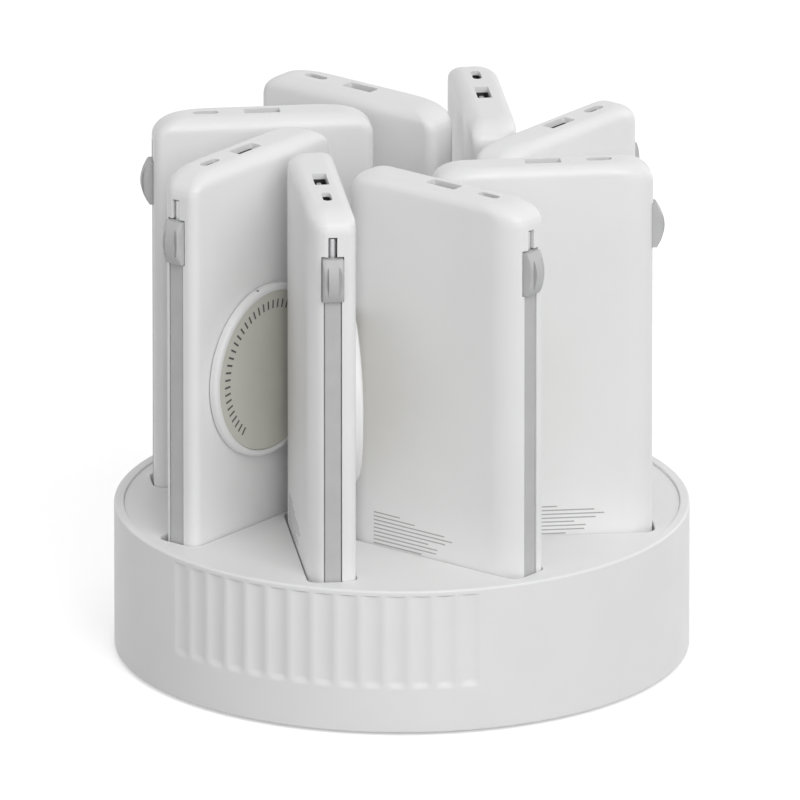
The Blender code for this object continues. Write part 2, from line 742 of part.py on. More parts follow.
def build_bank_end_cap():
    """Lower end of the bank: flange, spigot into the housing, strap anchor, contact pads."""
    bm = bmesh.new()
    add_prism(bm, [(point.x, point.y) for point in bank_ring(0.0)], 0.0, CAP_FLANGE)
    cap = mesh_object("bank_end_cap", bm)
    spigot_x = CAVITY_SIDE - FIT_GAP
    spigot_y = CAVITY_FACE - FIT_GAP
    spigot_top = CAP_FLANGE + CAP_SPIGOT
    spigot = bmesh.new()
    add_box(spigot, (-spigot_x, spigot_x), (-spigot_y, spigot_y), (CAP_FLANGE / 2.0, spigot_top))
    join(cap, spigot)
    hollow = bmesh.new()
    inner_x = spigot_x - CAP_SPIGOT_WALL
    inner_y = spigot_y - CAP_SPIGOT_WALL
    add_box(hollow, (-inner_x, inner_x), (-inner_y, inner_y), (CAP_FLANGE, spigot_top + CUT_MARGIN))
    cut(cap, hollow)
    anchor = bmesh.new()
    anchor_top = PIVOT_Z - STRAP_THICKNESS / 2.0 - FIT_GAP
    add_box(
        anchor,
        (CHANNEL_FLOOR + FIT_GAP, STRAP_FACE),
        (-STRAP_WIDTH / 2.0, STRAP_WIDTH / 2.0),
        (CAP_FLANGE / 2.0, anchor_top),
    )
    join(cap, anchor)
    pads = bmesh.new()
    for side in (-1.0, 1.0):
        middle = side * CONTACT_PAD_SPACING / 2.0
        add_box(
            pads,
            (middle - CONTACT_PAD_X / 2.0, middle + CONTACT_PAD_X / 2.0),
            (-CONTACT_PAD_Y / 2.0, CONTACT_PAD_Y / 2.0),
            (-CUT_MARGIN, CONTACT_PAD_DEPTH),
        )
    cut(cap, pads)
    return cap


def add_socket(body, middle_x, width, height, depth, tongue_width, tongue):
    """Metal can with its mouth just under the crown, and the tongue that stands in it."""
    mouth = CAVITY_TOP - FIT_GAP
    floor = mouth - depth
    half_x = width / 2.0
    half_y = height / 2.0
    can = bmesh.new()
    add_box(
        can,
        (middle_x - half_x - CAN_WALL, middle_x + half_x + CAN_WALL),
        (-half_y - CAN_WALL, half_y + CAN_WALL),
        (floor - CAN_WALL, mouth),
    )
    join(body, can)
    hollow = bmesh.new()
    add_box(
        hollow,
        (middle_x - half_x, middle_x + half_x),
        (-half_y, half_y),
        (floor, mouth + CUT_MARGIN),
    )
    cut(body, hollow)
    blade = bmesh.new()
    add_box(
        blade,
        (middle_x - tongue_width / 2.0, middle_x + tongue_width / 2.0),
        (-tongue / 2.0, tongue / 2.0),
        (floor - CAN_WALL / 2.0, mouth - TONGUE_SUNK),
    )
    join(body, blade)


def build_bank_cell_pack():
    """Cells, the circuit board above them, and the sockets that the board carries."""
    foot = CAP_FLANGE + CAP_SPIGOT + FIT_GAP
    cells_top = CAVITY_STEP - CELL_TOP_GAP
    half_x = min(CELL_WIDTH / 2.0, CAVITY_SIDE - FIT_GAP)
    half_y = min(CELL_THICKNESS / 2.0, CAVITY_FACE - FIT_GAP)
    bm = bmesh.new()
    add_box(bm, (-half_x, half_x), (-half_y, half_y), (foot, cells_top))
    pack = mesh_object("bank_cell_pack", bm)
    blade = bmesh.new()
    blade_top = CAVITY_TOP - FIT_GAP - USB_A_DEPTH
    add_box(
        blade,
        (BOARD_START, CAVITY_POCKET_SIDE - FIT_GAP),
        (-BOARD_BLADE / 2.0, BOARD_BLADE / 2.0),
        (cells_top - CUT_MARGIN, blade_top),
    )
    join(pack, blade)
    riser = bmesh.new()
    add_box(
        riser,
        (USB_C_X - USB_C_WIDTH / 2.0, USB_C_X + USB_C_WIDTH / 2.0),
        (-BOARD_BLADE / 2.0, BOARD_BLADE / 2.0),
        (blade_top - CUT_MARGIN, CAVITY_TOP - FIT_GAP - USB_C_DEPTH),
    )
    join(pack, riser)
    add_socket(
        pack, USB_A_X, USB_A_WIDTH, USB_A_HEIGHT, USB_A_DEPTH, USB_A_TONGUE_WIDTH, USB_A_TONGUE
    )
    add_socket(
        pack, USB_C_X, USB_C_WIDTH, USB_C_HEIGHT, USB_C_DEPTH, USB_C_TONGUE_WIDTH, USB_C_TONGUE
    )
    switch = bmesh.new()
    switch_face = BUTTON_FLANGE_END + BUTTON_TRAVEL + FIT_GAP
    add_box(
        switch,
        (switch_face, -half_x + CUT_MARGIN),
        (BUTTON_Y - BUTTON_WIDTH / 2.0, BUTTON_Y + BUTTON_WIDTH / 2.0),
        (BUTTON_Z - BUTTON_LENGTH / 2.0, BUTTON_Z + BUTTON_LENGTH / 2.0),
    )
    join(pack, switch)
    return pack


def build_bank_button():
    """Button that slides in the inner narrow side and is held there by its flange."""
    face = -HALF_WIDTH - BUTTON_PROUD
    bm = bmesh.new()
    add_prism(bm, button_outline(0.0), face, BUTTON_FLANGE_END - BUTTON_FLANGE / 2.0, axis="x")
    button = mesh_object("bank_button", bm)
    flange = bmesh.new()
    flange_start = BUTTON_FLANGE_END - BUTTON_FLANGE
    add_prism(flange, button_outline(BUTTON_LIP), flange_start, BUTTON_FLANGE_END, axis="x")
    join(button, flange)
    return button


def build_bank_disc():
    """Charging disc: turned about its own axis, then laid against the bank's wide face."""
    back = 0.0
    front = DISC_THICKNESS
    face = front - DISC_FACE_SUNK
    face_radius = DISC_RADIUS - DISC_RING
    sections = (
        (DISC_RADIUS, back),
        (DISC_RADIUS, front - DISC_CHAMFER),
        (DISC_RADIUS - DISC_CHAMFER, front),
        (face_radius, front),
        (face_radius, face),
    )
    bm = bmesh.new()
    rings = [
        [Vector((x, y, level)) for x, y in circle_points(radius, DISC_STEPS)]
        for radius, level in sections
    ]
    add_loft(bm, rings)
    lay_down = Matrix.Rotation(-math.pi / 2.0, 4, "X")
    place = Matrix.Translation((0.0, HALF_THICKNESS + FIT_GAP, BANK_SINK + DISC_RISE))
    bmesh.ops.transform(bm, matrix=place @ lay_down, verts=bm.verts)
    return mesh_object("bank_disc", bm)


def plug_outline():
    """Plug seen on the bank's wide face: flat back, bulging front."""
    half_height = PLUG_HEIGHT / 2.0
    middle = PLUG_FOOT + half_height
    arc_rise = PLUG_BULGE - PLUG_END_BULGE
    radius = (half_height ** 2 + arc_rise ** 2) / (2.0 * arc_rise)
    centre_x = HALF_WIDTH + PLUG_BULGE - radius
    half_arc = math.asin(half_height / radius)
    points = [(PLUG_BACK, PLUG_TOP), (PLUG_BACK, PLUG_FOOT)]
    for step in range(PLUG_STEPS + 1):
        angle = half_arc * (2.0 * step / PLUG_STEPS - 1.0)
        points.append((centre_x + radius * math.cos(angle), middle + radius * math.sin(angle)))
    return points


def shave_plug_sides(bm):
    """Slope the outer part of the two sides, so that the plug narrows towards its nose."""
    narrowing = (PLUG_WIDTH - PLUG_NOSE_WIDTH) / 2.0
    for side in (-1.0, 1.0):
        normal = Vector((narrowing, side * (PLUG_BULGE - PLUG_SIDE_BULGE), 0.0)).normalized()
        point = Vector((HALF_WIDTH + PLUG_SIDE_BULGE, side * PLUG_WIDTH / 2.0, 0.0))
        cut_result = bmesh.ops.bisect_plane(
            bm,
            geom=list(bm.verts) + list(bm.edges) + list(bm.faces),
            dist=1e-7,
            plane_co=point,
            plane_no=normal,
            clear_outer=True,
        )
        rim = [item for item in cut_result["geom_cut"] if isinstance(item, bmesh.types.BMEdge)]
        bmesh.ops.contextual_create(bm, geom=rim)


def scoop_cutter(side):
    """Finger hollow in one side of the plug: a slope that ends at the wall of the middle ridge."""
    half_height = SCOOP_SHARE * PLUG_HEIGHT / 2.0
    middle_z = PLUG_FOOT + PLUG_HEIGHT / 2.0
    wall_y = SCOOP_RIDGE / 2.0
    far_y = PLUG_WIDTH / 2.0 + CUT_MARGIN
    foot_x = HALF_WIDTH + SCOOP_BULGE
    slope_end_x = foot_x - (far_y - wall_y) * math.tan(SCOOP_SLOPE)
    far_x = HALF_WIDTH + PLUG_BULGE + CUT_MARGIN
    outline = [(foot_x, wall_y), (far_x, wall_y), (far_x, far_y), (slope_end_x, far_y)]
    bm = bmesh.new()
    pairs = [(x, side * y) for x, y in outline]
    add_prism(bm, pairs, middle_z - half_height, middle_z + half_height)
    return bm


def strap_outline():
    """Strap seen on the bank's wide face, round at the end where it bends."""
    radius = STRAP_THICKNESS / 2.0
    top = PLUG_FOOT + CUT_MARGIN
    points = [(STRAP_FACE, top), (STRAP_MIDDLE - radius, top)]
    steps = 6
    for step in range(steps + 1):
        angle = math.pi * (1.0 + step / steps)
        points.append((STRAP_MIDDLE + radius * math.cos(angle), PIVOT_Z + radius * math.sin(angle)))
    return points


def build_bank_cable():
    """Built-in cable as it is stored: plug in its notch, strap down its channel."""
    bm = bmesh.new()
    add_prism(bm, plug_outline(), -PLUG_WIDTH / 2.0, PLUG_WIDTH / 2.0, axis="y")
    shave_plug_sides(bm)
    cable = mesh_object("bank_cable", bm)
    for side in (-1.0, 1.0):
        cut(cable, scoop_cutter(side))
    strap = bmesh.new()
    add_prism(strap, strap_outline(), -STRAP_WIDTH / 2.0, STRAP_WIDTH / 2.0, axis="y")
    join(cable, strap)
    tip = bmesh.new()
    tip_front = PLUG_BACK + TIP_WIDTH
    add_box(
        tip,
        (PLUG_BACK, tip_front),
        (-TIP_THICKNESS / 2.0, TIP_THICKNESS / 2.0),
        (PLUG_TOP - CUT_MARGIN, TIP_TOP),
    )
    join(cable, tip)
    return cable


def shift_mesh(item, offset):
    item.data.transform(Matrix.Translation(offset))


def place_banks(templates):
    """Eight banks: each has a frame on its well, and its pieces ride in that frame.

    The cable's own origin lies on the line that its strap bends about.
    """
    pivot = Vector((STRAP_MIDDLE, 0.0, PIVOT_Z))
    shift_mesh(templates["cable"], -pivot)
    for index, (angle, place) in enumerate(bank_placements()):
        holder = bpy.data.objects.new(f"bank_{index + 1}", None)
        bpy.context.scene.collection.objects.link(holder)
        holder.location = place
        holder.rotation_euler = (0.0, 0.0, angle)
        for piece, template in templates.items():
            item = bpy.data.objects.new(f"bank_{index + 1}_{piece}", template.data)
            bpy.context.scene.collection.objects.link(item)
            item.parent = holder
            if piece == "cable":
                item.location = pivot
    for template in templates.values():
        bpy.data.objects.remove(template, do_unlink=True)


def main():
    clear_objects()
    white_shell = make_material("white_shell", (0.80, 0.80, 0.80), 0.45)
    white_deck = make_material("white_deck", (0.78, 0.78, 0.78), 0.5)
    white_bank = make_material("white_bank", (0.78, 0.78, 0.78), 0.4)
    grey_cable = make_material("grey_cable", (0.50, 0.50, 0.51), 0.55)
    grey_disc = make_material("grey_disc", (0.40, 0.39, 0.37), 0.5)
    white_button = make_material("white_button", (0.74, 0.74, 0.74), 0.4)
    cover_grey = make_material("cover_grey", (0.70, 0.70, 0.70), 0.6)
    rubber = make_material("rubber", (0.06, 0.06, 0.06), 0.8)
    board_green = make_material("board_green", (0.05, 0.22, 0.12), 0.5)
    black_plastic = make_material("black_plastic", (0.03, 0.03, 0.03), 0.5)
    cell_grey = make_material("cell_grey", (0.45, 0.47, 0.5), 0.4, 0.3)

    build_drum_shell(white_shell)
    build_deck_plate(white_deck)
    build_bottom_cover(cover_grey)
    build_feet(rubber)
    build_charging_board(board_green)
    build_power_module(black_plastic)
    build_power_inlet(black_plastic)

    templates = {
        "housing": finish(build_bank_housing(), white_bank),
        "end_cap": finish(build_bank_end_cap(), white_bank),
        "cell_pack": finish(build_bank_cell_pack(), cell_grey),
        "disc": finish(build_bank_disc(), grey_disc),
        "cable": finish(build_bank_cable(), grey_cable),
        "button": finish(build_bank_button(), white_button),
    }
    place_banks(templates)


main()
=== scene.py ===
"""Looks of a tabletop power-bank charging station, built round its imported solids.

Metres, +Z up. The front of the drum, with its flutes, faces -Y. A bank's pieces are made once, in the
bank's own frame, and placed eight times: x runs along its width, away from the drum's axis, y through its
thickness, towards its charging disc, and z up from its lower end. Only the straps are made bank by bank.
"""

import json
import math

import bpy
import bmesh
from mathutils import Matrix, Vector


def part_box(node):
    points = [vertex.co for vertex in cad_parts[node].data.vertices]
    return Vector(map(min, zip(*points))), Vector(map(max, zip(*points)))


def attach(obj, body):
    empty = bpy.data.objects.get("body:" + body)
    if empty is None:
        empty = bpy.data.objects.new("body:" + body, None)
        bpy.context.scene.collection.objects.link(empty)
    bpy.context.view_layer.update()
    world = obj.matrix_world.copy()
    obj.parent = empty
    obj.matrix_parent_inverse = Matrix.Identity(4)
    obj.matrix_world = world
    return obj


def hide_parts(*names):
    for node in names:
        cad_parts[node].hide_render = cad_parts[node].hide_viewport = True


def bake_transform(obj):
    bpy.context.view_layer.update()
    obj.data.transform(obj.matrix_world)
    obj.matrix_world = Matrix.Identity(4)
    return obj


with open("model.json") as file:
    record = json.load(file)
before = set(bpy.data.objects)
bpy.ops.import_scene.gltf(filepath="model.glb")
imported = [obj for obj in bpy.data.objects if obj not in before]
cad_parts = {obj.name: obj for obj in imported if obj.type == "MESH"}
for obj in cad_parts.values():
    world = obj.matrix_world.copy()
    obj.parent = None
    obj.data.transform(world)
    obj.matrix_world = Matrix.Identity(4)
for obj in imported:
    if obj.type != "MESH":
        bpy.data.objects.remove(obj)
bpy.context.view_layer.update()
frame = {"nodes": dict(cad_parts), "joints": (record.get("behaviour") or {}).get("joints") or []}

MM = 0.001
BANK_COUNT = 8
FOOT_COUNT = 4


# The frame's own sizes


def joint(name):
    return next(j for j in frame["joints"] if j["name"] == name)


def bank_angle(number):
    """Turn of a bank's frame about the drum's axis, from the hinge of its cable."""
    axis = joint(f"cable_{number}_swing")["axis"]
    return math.atan2(-axis[0], axis[1])


def turned_box(node, turn):
    """Corners of a CAD node after a turn."""
    points = [turn @ vertex.co for vertex in frame["nodes"][node].data.vertices]
    low = Vector([min(point[axis] for point in points) for axis in range(3)])
    high = Vector([max(point[axis] for point in points) for axis in range(3)])
    return low, high


def bank_place(number):
    """Matrix of a bank's frame: the middle of its housing, on its end cap's lower face."""
    turn = Matrix.Rotation(bank_angle(number), 4, "Z")
    low, high = turned_box(f"bank_{number}_housing", turn.inverted())
    cap_low = turned_box(f"bank_{number}_end_cap", turn.inverted())[0]
    middle = (low + high) / 2.0
    return turn @ Matrix.Translation((middle.x, middle.y, cap_low.z))


PLACES = {number: bank_place(number) for number in range(1, BANK_COUNT + 1)}


def bank_box(piece):
    """Corners of one piece of a bank, in the bank's frame."""
    return turned_box(f"bank_1_{piece}", PLACES[1].inverted())


HOUSING_LOW, HOUSING_HIGH = bank_box("housing")
DISC_LOW, DISC_HIGH = bank_box("disc")
BUTTON_LOW, BUTTON_HIGH = bank_box("button")
CABLE_HIGH = bank_box("cable")[1]
DRUM_LOW, DRUM_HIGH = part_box("drum_shell")
COVER_LOW, COVER_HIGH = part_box("bottom_cover")
FOOT_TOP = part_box("foot_1")[1].z
INLET_LOW, INLET_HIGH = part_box("power_inlet")

HALF_WIDTH = HOUSING_HIGH.x
HALF_THICKNESS = HOUSING_HIGH.y
BANK_TOP = HOUSING_HIGH.z
BANK_FOOT = PLACES[1].translation.z
DISC_RADIUS = (DISC_HIGH.z - DISC_LOW.z) / 2.0
DISC_CENTRE = (DISC_HIGH.z + DISC_LOW.z) / 2.0
DISC_THICKNESS = DISC_HIGH.y - DISC_LOW.y
DRUM_RADIUS = DRUM_HIGH.x
RIM_TOP = DRUM_HIGH.z
DECK_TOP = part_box("deck_plate")[1].z
HINGE = PLACES[1].inverted() @ Vector(joint("cable_1_swing")["pos_m"])
INLET_MIDDLE = (INLET_LOW.z + INLET_HIGH.z) / 2.0
INLET_HALF = (INLET_HIGH.z - INLET_LOW.z) / 2.0


# Sizes of the finish

FIT_GAP = 0.3 * MM
CUT_MARGIN = 2.0 * MM  # how far a cutting tool stands out of what it cuts
MERGE_DISTANCE = 1e-7
TOUCH = 0.01 * MM  # two places closer than this are the same

LARGE_CORNER_X = 11.1 * MM  # upright corners next to the bare face
LARGE_CORNER_Y = 6.8 * MM
TIGHT_CORNER = 3.5 * MM  # upright corners next to the disc's face
SHOULDER_X = 11.5 * MM
SHOULDER_Z = 7.9 * MM
BARE_EDGE = 4.0 * MM  # top edge along the bare face
DISC_SIDE_EDGE = 5.25 * MM  # top edge along the disc's face
CORNER_STEPS = 12
CROWN_STEPS = 9
LEVEL_GAP = 0.03 * MM  # sections closer than this become one
OPENING_FILLET = 0.35 * MM
BUTTON_LIP = 0.7 * MM
BUTTON_FLANGE = 0.8 * MM
BUTTON_EDGE = 0.25 * MM
TOP_BAND = 0.1 * MM  # where the housing's edges to be rounded lie
INNER_BAND = 0.2 * MM
OUTER_BAND = 2.2 * MM
OUTER_HALF = 5.0 * MM

FACE_WALL = 2.4 * MM
SIDE_WALL = 4.8 * MM
CROWN_WALL = 2.5 * MM
POCKET_WALL = 2.2 * MM
CAVITY_CORNER = 9.0 * MM

CAP_EDGE = 0.7 * MM
CAP_CHANNEL = 0.8 * MM
TENON_RISE = 4.0 * MM
PAD_MIDDLE = 4.0 * MM  # each of two pads is this far from the bank's middle
CAP_PAD_HOLE = (2.5 * MM, 2.0 * MM, 0.5 * MM)  # half width, half depth, corner
CAP_PAD = (2.3 * MM, 1.8 * MM, 0.4 * MM)
WELL_PAD = (2.4 * MM, 1.9 * MM, 0.6 * MM)
CAP_PAD_LEVELS = (0.15 * MM, 0.45 * MM)
CAP_PAD_RECESS = 0.4 * MM
WELL_PAD_HEIGHT = 0.4 * MM
WELL_PAD_GAP = 0.05 * MM  # between a well's pads and a bank

CELLS_HALF_X = 30.5 * MM
CELLS_HALF_Y = 5.2 * MM
CELLS_CORNER = 3.0 * MM
CELLS_EDGE = 1.0 * MM
CELLS_FOOT_GAP = 4.3 * MM
CELLS_PLUG_GAP = 4.5 * MM
BOARD_START = -23.0 * MM
BOARD_END = 25.5 * MM
BOARD_HALF_Y = 0.8 * MM
BOARD_LAP = 2.0 * MM  # how far the board reaches into the cells' block

STRAP_WIDTH = 5.7 * MM
STRAP_THICKNESS = 1.6 * MM
STRAP_EDGE = 0.45 * MM
STRAP_FOOT = 4.0 * MM
STRAP_LAP = 0.5 * MM  # how far the strap reaches into the plug
BEND_LENGTH = 7.0 * MM
BEND_STEPS = 20
BEND_LEAD = 1.0 * MM  # plain strap below the hinge

PLUG_HEIGHT = 15.4 * MM
PLUG_WIDTH = 7.2 * MM
PLUG_DEPTH = 8.9 * MM
PLUG_END_RISE = 1.36 * MM  # how far its two ends stand proud
PLUG_SIDE_RISE = 2.06 * MM  # height of its flat sides
PLUG_CREST = 3.5 * MM  # width of the flat stretch along its crest
PLUG_SIDE_SHARE = 0.7  # the most of its rise that a flat side takes up
PLUG_EDGE = 0.45 * MM
PLUG_STEPS = 28
CREST_STEPS = 8
GRIP_DEPTH = 1.4 * MM
GRIP_SLOPE = math.radians(30.0)
GRIP_REACH = 5.0 * MM  # how far the tool that cuts a grip stands out
TIP_HEIGHT = 7.0 * MM
TIP_TRIM = 1.0 * MM  # its end stays this far below its solid's
TIP_THICKNESS = 2.5 * MM
TIP_WIDTH = 8.3 * MM
TIP_WALL = 0.35 * MM
TIP_EDGE = 0.2 * MM
TIP_LAP = 1.0 * MM  # how far the tip reaches into the plug
TIP_FLOOR = 2.0 * MM  # height of the floor inside it
SWING_GAP = 0.6 * MM

USB_A_X = 0.0
USB_A_SIZE = (12.5 * MM, 5.0 * MM, 11.0 * MM)  # width, height, depth
USB_A_CORNER = 0.5 * MM
USB_A_LIP = 2.1 * MM  # depth of the pale lip above the can, whose steel is painted dark as shade
USB_A_TONGUE = (10.8 * MM, 1.8 * MM, 0.9 * MM)  # width, thickness, how far it is sunk in the can
USB_C_X = 19.6 * MM
USB_C_SIZE = (9.0 * MM, 3.2 * MM, 7.0 * MM)
USB_C_CORNER = USB_C_SIZE[1] / 2.0
USB_C_LIP = 1.5 * MM
USB_C_TONGUE = (6.6 * MM, 0.7 * MM, 0.6 * MM)
CAN_WALL = 0.3 * MM
CAN_GAP = 0.03 * MM  # between a can and its opening
TONGUE_EDGE = 0.35 * MM
TONGUE_INSET = (0.21 * MM, 0.168 * MM)
TONGUE_CORNER = (0.25 * MM, 0.2 * MM)

DISC_RING = 2.3 * MM
DISC_FACE_SUNK = 0.45 * MM
DISC_EDGE = 1.3 * MM
DISC_FOOT_EDGE = 0.3 * MM
DISC_INNER_EDGE = (0.5 * MM, 0.4 * MM)
DISC_LIP_EDGE = 0.3 * MM
DISC_FACE_LOW = 0.5 * MM
DISC_FACE_GAP = 0.1 * MM
DISC_FACE_EDGE = 0.25 * MM
TICK_INNER = 22.2 * MM
TICK_OUTER = 25.2 * MM
TICK_WIDTH = 0.7 * MM
TICK_PITCH = math.radians(6.3)
TICK_GAP = math.radians(37.0)  # half of the bare stretch at the bottom
LED_ANGLE = math.radians(10.6)
LED_SIZE = 1.3 * MM
LED_CORNER = 0.3 * MM
LED_DEPTH = 0.9 * MM  # how far its hole goes into the ring
LENS_GAP = 0.08 * MM
LENS_CORNER = 0.25 * MM
LENS_FOOT = 0.95 * MM  # below the ring's outer wall
LENS_SUNK = 0.35 * MM
LED_HEIGHT = 0.47  # share of the ring's thickness
PRINT_THICKNESS = 0.05 * MM

RULE_LEFT = -24.3 * MM
RULE_TOP_RISE = 11.7 * MM  # first line above the deck
RULE_PITCH = 1.4 * MM
RULE_WIDTH = 0.42 * MM
RULE_LENGTHS = (11.5, 18.0, 31.0, 34.5, 31.5, 24.0, 28.0, 27.5, 21.0)  # in MM
RULE_SHIFTS = {3: 10.5 * MM}  # the right-hand bank's lines stand further out

FLUTE_COUNT = 14
FLUTE_PITCH = math.radians(4.87)
FLUTE_FIRST = math.radians(-52.2)
FLUTE_DEPTH = 0.8 * MM
FLUTE_TOP_MARGIN = 1.8 * MM
FLUTE_FOOT_MARGIN = 15.6 * MM
FLUTE_END = 0.7 * MM  # height of the slope that ends a flute at its top
FLUTE_END_SHARE = 0.6  # depth left halfway up that slope
FLUTE_FADE = 3.0 * MM  # height of the slope at its foot
FLUTE_LAND = 0.18  # share of the pitch left plain between two flutes
FLUTE_COLUMNS = 14
FADE_STEPS = 8
PLAIN_COLUMNS = 200
RIM_WIDTH = 3.4 * MM
RIM_EDGE = 0.8 * MM
BASE_EDGE = 0.6 * MM
WALL_THICKNESS = 2.8 * MM
LEDGE_WIDTH = 1.6 * MM
LEDGE_THICKNESS = 1.8 * MM
LEDGE_SLOPE = 1.9 * MM

COVER_THICKNESS = 2.4 * MM
COVER_EDGE = 0.5 * MM
COVER_GROOVE = 0.5 * MM
COVER_GROOVE_RADII = (34.0 * MM, 58.0 * MM)
FOOT_EDGE = 0.5 * MM
FOOT_GROOVE_RADII = (3.0 * MM, 5.4 * MM)
FOOT_GROOVE_HALF = 0.4 * MM
FOOT_GROOVE_DEPTH = 0.35 * MM

INLET_CORNER = 1.0 * MM
INLET_OPENING_CORNER = 1.2 * MM
INLET_EDGE = 0.4 * MM
BORE_RADIUS = 3.2 * MM
BORE_DEPTH = 9.5 * MM
PIN_RADIUS = 1.0 * MM
PIN_EDGE = 0.6 * MM
PIN_SUNK = 1.0 * MM
PIN_FOOT = 9.4 * MM
SLEEVE_WALL = 0.23 * MM
SLEEVE_GAP = 0.02 * MM
SLEEVE_SUNK = 2.2 * MM
SLEEVE_FOOT = 9.0 * MM

SLOT_CLEARANCE = 0.4 * MM
SLOT_CORNER = 4.0 * MM
SLOT_FILLET = 0.5 * MM
WINDOW_CORNER = 1.0 * MM
WELL_WALL = 1.5 * MM
WELL_FLOOR = 1.6 * MM
DECK_THICKNESS = 2.4 * MM
DECK_STEPS = 256
DECK_LAP = 0.05 * MM  # how far the deck reaches into the rim's wall
CONTACT_WINDOW_X = 16.0 * MM
CONTACT_WINDOW_Y = 6.0 * MM


# Building blocks


def linked(item):
    bpy.context.scene.collection.objects.link(item)
    return item


def discard(item):
    bpy.data.objects.remove(item, do_unlink=True)


def mesh_object(name, bm):
    bmesh.ops.recalc_face_normals(bm, faces=bm.faces)
    mesh = bpy.data.meshes.new(name)
    bm.to_mesh(mesh)
    bm.free()
    return linked(bpy.data.objects.new(name, mesh))


def add_loft(bm, rings, closed_ends=True):
    """Skin over rings of points, each ring alike in count."""
    loops = [[bm.verts.new(point) for point in ring] for ring in rings]
    count = len(loops[0])
    for lower, upper in zip(loops, loops[1:]):
        for index in range(count):
            after = (index + 1) % count
            bm.faces.new((lower[index], lower[after], upper[after], upper[index]))
    if closed_ends:
        bm.faces.new(list(reversed(loops[0])))
        bm.faces.new(loops[-1])


def add_prism(bm, outline, low, high, axis="z"):
    """Straight prism along an axis, over an outline given as pairs in the other two."""
    if axis == "z":
        rings = [ring_at(level, outline) for level in (low, high)]
    elif axis == "y":
        rings = [[Vector((u, level, v)) for u, v in outline] for level in (low, high)]
    else:
        rings = [[Vector((level, u, v)) for u, v in outline] for level in (low, high)]
    add_loft(bm, rings)


def add_box(bm, x_range, y_range, z_range):
    left, right = x_range
    front, back = y_range
    add_prism(bm, [(left, front), (right, front), (right, back), (left, back)], *z_range)


def ring_at(level, outline):
    return [Vector((x, y, level)) for x, y in outline]


def circle_points(radius, steps, centre=(0.0, 0.0)):
    turn = 2.0 * math.pi / steps
    return [
        (centre[0] + radius * math.cos(turn * step), centre[1] + radius * math.sin(turn * step))
        for step in range(steps)
    ]


def rounded_outline(corners, steps):
    """Outline round four corners, anticlockwise; a corner is its centre's x and y and its two radii."""
    points = []
    for index, (centre_x, centre_y, radius_x, radius_y) in enumerate(corners):
        for step in range(steps + 1):
            angle = 0.5 * math.pi * (index + step / steps)
            points.append((centre_x + radius_x * math.cos(angle), centre_y + radius_y * math.sin(angle)))
    return points


def slab_outline(half_x, half_y, corner_x, corner_y, steps, centre_x=0.0):
    """Rectangle with elliptical corners."""
    reach_x = half_x - corner_x
    reach_y = half_y - corner_y
    signs = ((1, 1), (-1, 1), (-1, -1), (1, -1))
    corners = [(centre_x + x * reach_x, y * reach_y, corner_x, corner_y) for x, y in signs]
    return rounded_outline(corners, steps)


def add_turned(bm, profile, steps):
    """Solid of revolution about z over a closed list of (radius, z); radius 0 makes a pole."""
    columns = []
    poles = {}
    for x, y in circle_points(1.0, steps):
        column = []
        for index, (radius, level) in enumerate(profile):
            if radius > 0.0:
                column.append(bm.verts.new((radius * x, radius * y, level)))
                continue
            if index not in poles:
                poles[index] = bm.verts.new((0.0, 0.0, level))
            column.append(poles[index])
        columns.append(column)
    for here, there in zip(columns, columns[1:] + columns[:1]):
        for index in range(len(profile)):
            after = (index + 1) % len(profile)
            corners = []
            for corner in (here[index], there[index], there[after], here[after]):
                if corner not in corners:
                    corners.append(corner)
            if len(corners) > 2:
                bm.faces.new(corners)


def add_pads(bm, pad, low, high, steps=4):
    """Two contact pads side by side; a pad is its half width, half depth and corner."""
    half_x, half_y, corner = pad
    for side in (-1.0, 1.0):
        outline = slab_outline(half_x, half_y, corner, corner, steps, side * PAD_MIDDLE)
        add_prism(bm, outline, low, high)


def arc(centre, radius, start, end, steps):
    """Points on an arc, angles in degrees."""
    points = []
    for step in range(steps + 1):
        angle = math.radians(start + (end - start) * step / steps)
        points.append((centre[0] + radius * math.cos(angle), centre[1] + radius * math.sin(angle)))
    return points


def rounded_edge(radius, steps=4):
    """Inset and rise at even steps round an edge, from its end on the flat face."""
    turns = [0.5 * math.pi * step / steps for step in range(steps + 1)]
    return [(radius * (1.0 - math.sin(turn)), radius * (1.0 - math.cos(turn))) for turn in turns]


def made(name, add, *details):
    """Object of a single building block, such as add_prism with its outline and levels."""
    bm = bmesh.new()
    add(bm, *details)
    return mesh_object(name, bm)


def apply_boolean(body, tool, operation):
    step = body.modifiers.new(operation.title(), "BOOLEAN")
    step.operation = operation
    step.solver = "EXACT"
    step.object = tool
    depsgraph = bpy.context.evaluated_depsgraph_get()
    result = bpy.data.meshes.new_from_object(body.evaluated_get(depsgraph))
    body.modifiers.clear()
    body.data = result
    discard(tool)


def cut(body, add, *details):
    apply_boolean(body, made("cutter", add, *details), "DIFFERENCE")


def join(body, add, *details):
    apply_boolean(body, made("addition", add, *details), "UNION")


def round_edges(body, width, chosen, segments=3, sharpest=50.0):
    """Fillet on the convex edges that are sharp and that the chosen test picks by their middle."""
    bm = bmesh.new()
    bm.from_mesh(body.data)
    bmesh.ops.remove_doubles(bm, verts=bm.verts, dist=MERGE_DISTANCE)
    bmesh.ops.dissolve_limit(
        bm, angle_limit=math.radians(0.1), verts=bm.verts, edges=bm.edges, use_dissolve_boundaries=False
    )
    edges = []
    for edge in bm.edges:
        if len(edge.link_faces) == 2 and edge.calc_face_angle_signed() > math.radians(sharpest):
            middle = (edge.verts[0].co + edge.verts[1].co) / 2.0
            if chosen(middle):
                edges.append(edge)
    bmesh.ops.bevel(
        bm, geom=edges, offset=width, offset_type="OFFSET", segments=segments, profile=0.5,
        affect="EDGES", clamp_overlap=True,
    )
    bm.to_mesh(body.data)
    bm.free()


